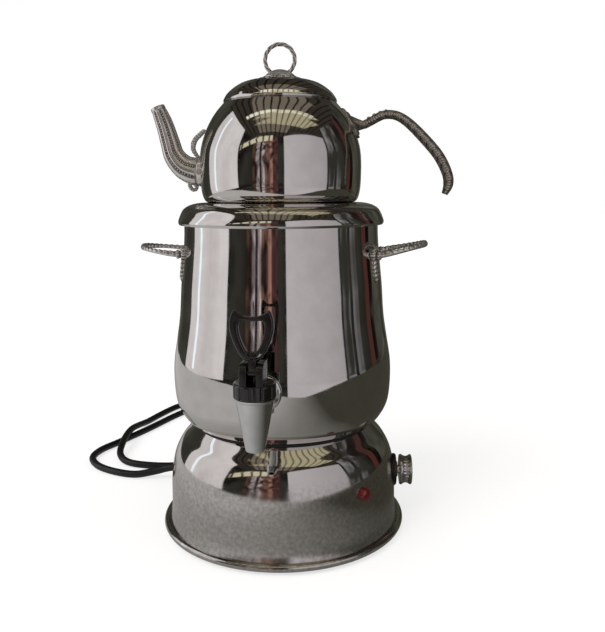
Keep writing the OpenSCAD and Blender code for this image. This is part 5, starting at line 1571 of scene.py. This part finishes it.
    def build_handle(self) -> None:
        """Builds the open ended handle with its lobed root plate and carved leaves."""
        z0 = STACK.pot_z + self.grip_z
        x0 = float(self.wall_at(z0))
        course = [[.115, .05], [.185, .1], [.31, .185], [.44, .176], [.567, .07], [.733, -.16], [.893, -.43],
                  [.984, -.687], [1, -.855], [.964, -1]]
        thick = [3.6, 3.6, 3.7, 3.8, 4.1, 4.4, 4.5, 4.4, 4.2, 2.6]
        rows = [[x0 + self.handle_reach * a, 0, z0 + self.handle_drop * b, self.half_w * min(1, h / 3.6), h]
                for (a, b), h in zip(course, thick)]
        line = even(smooth_curve(rows, 14), 0.45)
        sides = 96
        t = 2 * math.pi * np.arange(sides) / sides

        def plate(lift: float, scale: float) -> Array:
            """Returns a lobed ring that follows the wall."""
            lobe = scale * (1 + 0.07 * np.cos(6 * t))
            y, z = 11 * lobe * np.cos(t), z0 + 4 + 12.5 * lobe * np.sin(t)
            return np.stack([np.sqrt(self.wall_at(z) ** 2 - y**2) + lift, y, z], axis=1)

        steps = [(1.2, 1.0), (1.9, 0.97), (2.2, 0.9), (1.7, 0.86), (2.0, 0.8), (3.1, 0.72), (3.3, 0.62),
                 (2.7, 0.58), (3.2, 0.5)]
        root = np.array([plate(0.05, k) for k in np.linspace(0.05, 1, 6)] + [plate(*step) for step in steps])

        def leaves(a: Array, s: Array, h: Array) -> tuple:
            """Carves overlapping leaves that point to the tip, a middle rib and an edge of beads."""
            across = np.abs(np.cos(a))
            feather = ((s + 5.5 * across) / 7.5) % 1.0
            veins = wave((s + 9.0 * across) / 2.5)
            deep = 0.55 * (1 - feather) ** 2 + 0.25 * veins
            rib = np.exp(-((across / 0.09) ** 2))
            deep = deep * (1 - rib) + 0.25 * np.exp(-(((across - 0.17) / 0.05) ** 2))
            edge = np.clip((across - 0.9) / 0.06, 0, 1)
            beads = 0.9 * wave(s / 2.2) ** 2
            deep = deep * (1 - edge) + edge * beads * 0.55
            return 0.62 * deep, np.clip(1.35 * deep, 0, 1)

        made = Blank()
        made.bar(line, leaves, sides, (0, 1, 0), root)
        # Serrated leaf top that stands above the root
        leaf_top = (8, 3.4, 1.5), (12.6, 6.4, 1.7), (17.2, 8.8, 1.8), (22, 10.9, 1.7), (26.8, 12.2, 1.5)
        for x, z, size in leaf_top:
            made.pearl([x0 + x, 0, z0 + z + 1.4], size, 0.9)
        made.finish("teapot_handle_cast", "teapot", Stock.HANDLE, "teapot_handle", 45)

    def build(self) -> None:
        """Builds the teapot."""
        self.build_body()
        self.build_spout()
        self.build_handle()
        dress_nodes({"handle_nuts": Stock.SATIN})


@dataclass
class TeapotLid:
    """The domed lid with its cast flange and ring grip."""

    rim: float = 3.8
    skirt: float = 9.0
    wall: float = 0.8
    flange_r: float = 19.0
    boss_h: float = 7.0
    grip_r: float = 14.35
    grip_d: float = 3.5

    def build_dome(self) -> None:
        """Builds the dome with its rolled rim, and the skirt ring under it."""
        lid_r, mouth = STACK.mouth_r + self.rim, STACK.mouth_z
        span = [[0.97, 0.16], [0.91, 0.32], [0.8, 0.5], [0.66, 0.67], [0.5, 0.82], [0.3, 0.93], [0.1, 0.985]]
        line = faired(
            [[lid_r, mouth + 0.4], [lid_r, mouth + 1.6],
             *[[self.flange_r + (lid_r - self.flange_r) * a, mouth + STACK.dome_h * b] for a, b in span],
             [self.flange_r, STACK.dome_z]], 0.5, 6)
        made = Blank()
        whole = np.vstack([line, [[self.flange_r - 1, STACK.dome_z], [2.1, STACK.dome_z]]])
        made.turned(sheet_loop(whole, self.wall), 224)
        made.turned(np.array([lid_r - 0.62, mouth + 0.68]) + oval(0.62, 0.62, 18), 224)
        made.turned(box_loop(STACK.mouth_r - 1.4, lid_r - 0.5, mouth, mouth + self.wall))
        made.finish("teapot_lid_spun", "lid", Stock.MIRROR, "teapot_lid")
        ring = Blank()
        out = STACK.mouth_r - STACK.slide_gap
        low = mouth - self.skirt
        ring.turned(np.array([[out - 0.8, low + 0.2], [out - 0.6, low], [out - 0.2, low], [out, low + 0.3],
                              [out, mouth], [out - 0.8, mouth]]), 192)
        ring.finish("lid_skirt_rolled", "lid", Stock.MIRROR, "skirt_ring")

    def build_flange(self) -> None:
        """Builds the petalled flange between the dome and the boss."""
        base, r = STACK.dome_z, self.flange_r

        def petals(t: Array, out: Array, z: Array) -> tuple:
            """Cuts twenty petals with a bead between each two at the rim."""
            phase = 20 * t / (2 * math.pi)
            gap = 1 - np.clip(wave(phase) * 2.6, 0, 1)
            vein = (1 - np.clip(np.abs((phase % 1) - 0.5) * 9, 0, 1)) * 0.6
            top = np.clip((z - base - 0.5) / 0.6, 0, 1) * np.clip((out - 13.5) / 1.2, 0, 1)
            deep = np.clip(gap + vein, 0, 1) * top
            near = np.clip((out - r + 1.4) / 1.4, 0, 1)
            dark = np.clip(1.1 * deep + 0.5 * gap * near, 0, 1)
            return out * (1 - 0.03 * gap * near), z - 0.45 * deep, dark

        top = smooth_curve([[r - 0.4, 0.0], [r, 0.5], [r - 0.2, 1.0], [r - 1.0, 1.5], [r - 2.5, 1.85],
                            [r - 4.2, 1.9], [14.6, 1.55], [14.35, 1.4]], 6)
        loop = np.vstack([[[2.1, 0]], top, [[14.2, 2.0], [2.1, 2.0]]]) + [0, base]
        made = Blank()
        made.turned(loop, 400, None, petals)
        made.finish("lid_flange_cast", "lid", Stock.CAST, "lid_flange", 50)

    def build_grip(self) -> None:
        """Builds the domed boss and the twisted ring that stands on it."""
        base = STACK.dome_z + 2
        r, h = self.grip_r, self.boss_h
        cap = (r * r + h * h) / (2 * h)
        dome = [[math.sqrt(max(cap**2 - (z + cap - h) ** 2, 0.0001)), z] for z in np.linspace(1.3, h, 40)]
        foot = [[r - 0.3, 0.0], [r, 0.4], [r - 0.1, 0.9], [r - 0.75, 1.15]]
        made = Blank()
        made.turned(np.array([[2.0, 0.0], *foot, *dome[1:-1], [0.01, h]]) + [0, base], 144, None,
                    lambda t, out, z: (out, z, np.exp(-(((z - base - 1.2) / 0.28) ** 2)) * (out > r - 2)))
        bend = r - self.grip_d / 2
        centre = base + h + 0.61 * bend
        a = np.radians(np.linspace(-58, 238, 240))
        half = np.full_like(a, self.grip_d / 2)
        line = np.column_stack([bend * np.cos(a), 0 * a, centre + bend * np.sin(a), half, half])

        def twist(t: Array, s: Array, thick: Array) -> tuple:
            """Twists three strands round the ring."""
            strands = wave(3 * t / (2 * math.pi) + s / 6.0) ** 2
            nicks = wave(s / 2.0) * 0.3 * np.clip(np.sin(t), 0, 1)
            return 0.42 * strands + 0.3 * nicks, np.clip(strands + nicks, 0, 1)

        made.bar(line, twist, 36, (0, 1, 0))
        made.finish("lid_grip_cast", "lid", Stock.CAST, "lid_knob", 50)

    def build(self) -> None:
        """Builds the lid."""
        self.build_dome()
        self.build_flange()
        self.build_grip()
        dress_nodes({"lid_screw": Stock.SATIN})


# ---- Camera, light and room ----


class Pattern(Enum):
    """How a card's two colours lie."""

    MOTTLED = "soft patches"
    SLATS = "thin lines across X"
    FADE = "from one colour to the other along X"


@dataclass
class Studio:
    """The camera, the plain light, the pale floor and the room that the mirrors show."""

    focal_px: float = 713.5
    long_side_px: float = 632.0
    place: tuple[float, float, float] = (0.0948, -0.6229, 0.3001)
    ahead: tuple[float, float] = (-0.1219, 0.9926)
    pitch: float = 0.1724
    roll: float = -0.0042

    def camera(self) -> None:
        """Sets the camera where the photograph was taken from."""
        data = bpy.data.cameras.new("view")
        data.sensor_width = 36.0
        data.lens = self.focal_px / self.long_side_px * data.sensor_width
        eye = put_in("view", data)
        flat = Vector((*self.ahead, 0)).normalized()
        look = flat * math.cos(self.pitch) - Vector((0, 0, math.sin(self.pitch)))
        turn = look.to_track_quat("-Z", "Y").to_matrix().to_4x4() @ Matrix.Rotation(self.roll, 4, "Z")
        eye.matrix_world = Matrix.Translation(self.place) @ turn
        bpy.context.scene.camera = eye

    @staticmethod
    def cleared(owner: bpy.types.ID) -> Tree:
        """Turns on the nodes of a world or material and returns their tree, emptied."""
        owner.use_nodes = True
        owner.node_tree.nodes.clear()
        return owner.node_tree

    @staticmethod
    def seen(tree: Tree) -> Socket:
        """Returns 1 for camera, glossy and transmission rays, and 0 for the rest."""
        path = add_node(tree, "ShaderNodeLightPath").outputs
        first = add_node(
            tree, "ShaderNodeMath", {0: path["Is Camera Ray"], 1: path["Is Glossy Ray"]}, operation="MAXIMUM"
        ).outputs[0]
        return add_node(
            tree, "ShaderNodeMath", {0: first, 1: path["Is Transmission Ray"]}, operation="MAXIMUM"
        ).outputs[0]

    def light(self) -> None:
        """Sets an even white surround and one soft key light from the upper left."""
        world = bpy.data.worlds.new("surround")
        bpy.context.scene.world = world
        tree = self.cleared(world)
        soft = add_node(tree, "ShaderNodeBackground", {"Color": (1, 1, 1, 1), "Strength": 0.55})
        white = add_node(tree, "ShaderNodeBackground", {"Color": (1, 1, 1, 1), "Strength": 1.0})
        mix = add_node(
            tree, "ShaderNodeMixShader", {0: self.seen(tree), 1: soft.outputs[0], 2: white.outputs[0]}
        )
        add_node(tree, "ShaderNodeOutputWorld", {"Surface": mix.outputs[0]})
        for name, strength, angle, aim in (
            ("key", 1.6, 35, (0.75, 0.9, -1.25)),
            ("fill", 0.5, 60, (-0.9, 0.5, -1.0)),
        ):
            lamp = bpy.data.lights.new(name, "SUN")
            lamp.energy = strength
            lamp.angle = math.radians(angle)
            held = put_in(name, lamp)
            held.rotation_mode = "QUATERNION"
            held.rotation_quaternion = Vector(aim).to_track_quat("-Z", "Y")
            held.visible_glossy = False

    def floor(self) -> None:
        """Lays the pale floor, white to the eye and darker only in the object's shadow."""
        mesh = bpy.data.meshes.new("floor")
        half = 9.0
        corners = [(-half, -half, 0), (half, -half, 0), (half, half, 0), (-half, half, 0)]
        mesh.from_pydata(corners, [], [(0, 1, 2, 3)])
        laid = put_in("floor", mesh)
        made = bpy.data.materials.new("floor_matt_white")
        tree = self.cleared(made)
        matt = add_node(tree, "ShaderNodeBsdfDiffuse", {"Color": linear("#a4a3a1")})
        lift = add_node(tree, "ShaderNodeMath", {0: self.seen(tree), 1: 0.67}, operation="MULTIPLY").outputs[0]
        glow = add_node(tree, "ShaderNodeEmission", {"Color": (1, 1, 1, 1), "Strength": lift})
        both = add_node(tree, "ShaderNodeAddShader", {0: matt.outputs[0], 1: glow.outputs[0]})
        add_node(tree, "ShaderNodeOutputMaterial", {"Surface": both.outputs[0]})
        mesh.materials.append(made)

    def card(self, name: str, corners: Sequence[Sequence[float]], colour: str, strength: float = 1.0,
             other: str | None = None, pattern: Pattern = Pattern.MOTTLED,
             size: Sequence[float] = (1, 1, 1)) -> None:
        """Stands a card where only the mirrors can see it.

        Args:
            name: The card's name.
            corners: Its corners in metres. Eight make two faces of four, and any other number makes one.
            colour: Its colour.
            strength: How bright it is.
            other: A second colour in its pattern.
            pattern: How the two colours lie on it.
            size: Mottles per metre along each axis, or a slat's width, line and softness, or where a fade
                starts and ends along X and how far it leans with Y.
        """
        mesh = bpy.data.meshes.new(name)
        count = len(corners)
        faces = [range(i, i + 4) for i in range(0, count, 4)] if count == 8 else [range(count)]
        mesh.from_pydata([tuple(c) for c in corners], [], [tuple(f) for f in faces])
        stood = put_in(name, mesh)
        made = bpy.data.materials.new(name)
        tree = self.cleared(made)
        shade = add_node(tree, "ShaderNodeEmission", {"Color": linear(colour), "Strength": strength})
        if other is not None:
            share = self.pattern(tree, pattern, size)
            tone = add_node(
                tree, "ShaderNodeMix", {"Factor": share, 6: linear(colour), 7: linear(other)}, data_type="RGBA"
            )
            tree.links.new(tone.outputs[2], shade.inputs["Color"])
        add_node(tree, "ShaderNodeOutputMaterial", {"Surface": shade.outputs[0]})
        mesh.materials.append(made)
        for ray in ("camera", "diffuse", "transmission", "volume_scatter", "shadow"):
            setattr(stood, f"visible_{ray}", False)

    @staticmethod
    def pattern(tree: Tree, kind: Pattern, size: Sequence[float]) -> Socket:
        """Lays out a card's second colour.

        Args:
            tree: The card's node tree.
            kind: How the colours lie.
            size: As in card.

        Returns:
            The second colour's share, from 0 to 1.
        """
        at = add_node(tree, "ShaderNodeTexCoord").outputs["Object"]
        if kind is Pattern.MOTTLED:
            scaled = add_node(
                tree, "ShaderNodeVectorMath", {0: at, 1: tuple(size)}, operation="MULTIPLY"
            ).outputs[0]
            noise = add_node(tree, "ShaderNodeTexNoise", {"Vector": scaled, "Scale": 1.0, "Detail": 3.0})
            return Finish.spread(tree, noise.outputs["Fac"], 0.0, 1.0, 0.36, 0.64)
        split = add_node(tree, "ShaderNodeSeparateXYZ", {"Vector": at}).outputs
        if kind is Pattern.FADE:
            lean = add_node(
                tree, "ShaderNodeMath", {0: split["Y"], 1: size[2], 2: split["X"]}, operation="MULTIPLY_ADD"
            )
            return Finish.spread(tree, lean.outputs[0], 0.0, 1.0, size[0], size[1])
        step = add_node(tree, "ShaderNodeMath", {0: split["X"], 1: size[0]}, operation="PINGPONG").outputs[0]
        return Finish.spread(tree, step, 1.0, 0.0, size[1], size[1] + size[2])

    @staticmethod
    def upright(a: tuple[float, float], b: tuple[float, float], low: float, high: float) -> list[list[float]]:
        """Returns the corners of a card that stands between two points on the floor."""
        return [[*a, low], [*b, low], [*b, high], [*a, high]]

    def wedge(self, a: float, b: float, far_a: float, far_b: float, high_a: float,
              high_b: float) -> list[list[float]]:
        """Returns a wall card's corners with those of the floor before it.

        Args:
            a: Bearing of its left end.
            b: Bearing of its right end.
            far_a: Distance of its left end.
            far_b: Distance of its right end.
            high_a: Height of its left end.
            high_b: Height of its right end.

        Returns:
            The wall's four corners, then the floor's four.
        """
        foot = [self.bearing(a, far_a), self.bearing(b, far_b)]
        near = [self.bearing(b, 0.4), self.bearing(a, 0.4)]
        floor = [[*foot[0], 0.0006], [*foot[1], 0.0006], [*near[0], 0.0006], [*near[1], 0.0006]]
        wall = [[*foot[0], 0.001], [*foot[1], 0.001], [*foot[1], high_b], [*foot[0], high_a]]
        return [*wall, *floor]

    @staticmethod
    def bearing(turn: float, far: float) -> tuple[float, float]:
        """Returns the floor point at a distance and at degrees to the right of the camera's side."""
        a = math.radians(turn - 81.35)
        return far * math.cos(a), far * math.sin(a)

    def room(self) -> None:
        """Stands the room round the object: table, walls, ceiling and its strip lights."""
        table = [self.bearing(turn, far) for turn, far in (
            (-180, 1.0), (-135, 1.3), (-100, 1.4), (-75, 1.3), (-55, 1.15), (-35, 0.9), (-15, 0.72),
            (5, 0.62), (20, 0.60), (35, 0.72), (50, 0.95), (70, 1.4), (100, 1.8), (140, 1.4))]
        # The table card's fade is painted light: pale at the left where the window's light falls, dark olive
        # towards the right
        self.card("table_card", [[*p, 0.0008] for p in table], "#cbc9c9", 1.0, "#47463d", Pattern.FADE,
                  (-0.30, 0.16, 0.5))
        self.card("room_floor_card", [[-6, -6, 0.0004], [6, -6, 0.0004], [6, 6, 0.0004], [-6, 6, 0.0004]],
                  "#57504a", 1.0)
        # The ceiling's slats are 0.26 m apart. Its lit stretch and the strip lights hang just under it
        top, slats = 2.2, (0.13, 0.016, 0.03)
        lit, low = top - 0.01, top - 0.02
        self.card("ceiling_card", [[-9, -9, top], [9, -9, top], [9, 9, top], [-9, 9, top]],
                  "#3f3a34", 1.0, "#191613", Pattern.SLATS, slats)
        self.card("ceiling_lit_card", [[-1.0, -2.1, lit], [0.7, -2.1, lit], [1.1, 0.5, lit], [-0.9, 0.5, lit]],
                  "#857b70", 1.0, "#221e1a", Pattern.SLATS, slats)
        near = ((-1.35, -0.55), (0.13, -0.60), (1.45, -0.15), (1.5, -0.32), (0.15, -0.78), (-1.35, -0.75))
        # Eight corners make two faces: a narrow inner light and a broad outer one, with a gap between
        broad = ((-1.1, -0.95), (0.2, -1.1), (1.05, -0.8), (1.75, -0.1), (2.0, -0.35), (1.5, -1.3),
                 (0.3, -1.5), (-1.15, -1.35))
        for name, outline, colour, strength in (
            ("strip_near", near, "#fffbe8", 1.25),
            ("strip_broad", broad, "#d8cfae", 0.85),
        ):
            self.card(name, [[x, y, low] for x, y in outline], colour, strength, "#5f5848", Pattern.SLATS,
                      (0.12, 0.012, 0.03))
        # A row of lights down the wall: bearing, lower edge and upper edge
        row = ((-58, 0.85, 1.15), (-38, 1.35, 1.75), (-12, 1.6, 2.0))
        lower = [[*self.bearing(turn, 2.2), z] for turn, z, _ in row]
        upper = [[*self.bearing(turn, 2.2), z] for turn, _, z in row[::-1]]
        self.card("strip_row", lower + upper, "#efe8cc", 1.0, "#4b4234", Pattern.SLATS, (0.16, 0.03, 0.02))
        wall = self.upright((-1.3, -1.02), (-1.3, 0.42), 0.001, 1.65)
        self.card("left_wall_card", wall, "#f2eef0", 1.10, "#d9d3d6", Pattern.MOTTLED, (0.2, 1.3, 0.8))
        self.card("window_card", self.upright((-1.28, 0.03), (-1.28, 0.11), 0.05, 1.5), "#e8f3ff", 1.7)
        self.card("right_panel_card", self.wedge(4.5, 66, 1.9, 1.75, 1.7, 1.3),
                  "#e2dce1", 0.92, "#bdb8bd", Pattern.FADE, (0.6, 1.9, 0.0))
        # Wall cards from the left round to the back: first and last bearing, and colour
        spans = [
            (-66, -49, "#0d0b0b"), (-49, -39, "#1c1716"), (-39, -34, "#6a5242"), (-34, -29, "#d9cdd2"),
            (-29, -26, "#38262c"), (-26, -22, "#e6dcda"), (-22, -15, "#8d6a60"), (-15, -11, "#c79684"),
            (-11, -4, "#6b4a4a"), (-4, 4.6, "#121016"), (66, 69, "#17161c"), (69, 79, "#a3a1a6"),
            (79, 83, "#14171e"), (83, 92, "#8d8b8e"), (92, 104, "#1c1010"), (104, 112, "#5a3430"),
            (112, 120, "#161210"), (120, 141, "#5d5e53"), (141, 149, "#2c2d28"), (149, 181, "#66675c"),
            (181, 189, "#33342e"), (189, 216, "#595b51"), (216, 245, "#4a4b44"),
        ]
        for k, (a, b, colour) in enumerate(spans):
            far = 2.6 if b < 10 else 2.3
            # The crowded part of the wall has small dark patches, the rest has large ones
            other, size = ("#2b1c1c", 5.0) if -40 < a < -10 else ("#3c3b36", 1.4)
            self.card(f"wall_card_{k:02d}", self.wedge(a, b, far, far, low, low), colour, 1.0,
                      other, Pattern.MOTTLED, (size, size, 0.7 * size))

    def build(self) -> None:
        """Sets up the whole studio."""
        self.camera()
        self.light()
        self.floor()
        self.room()


def main() -> None:
    """Builds the samovar's pieces in order, from the table up."""
    logging.basicConfig(level=logging.INFO, format="%(message)s")
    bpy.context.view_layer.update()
    Studio().build()
    base = HeaterBase()
    base.build()
    MainsCord(base).build()
    Insides().build()
    urn = Urn()
    urn.build()
    for side in Side:
        UrnHandle(urn, side).build()
    Tap(urn).build()
    RingLid().build()
    Teapot().build()
    TeapotLid().build()
    bpy.context.scene.view_settings.view_transform = "Standard"


if __name__ == "__main__":
    main()
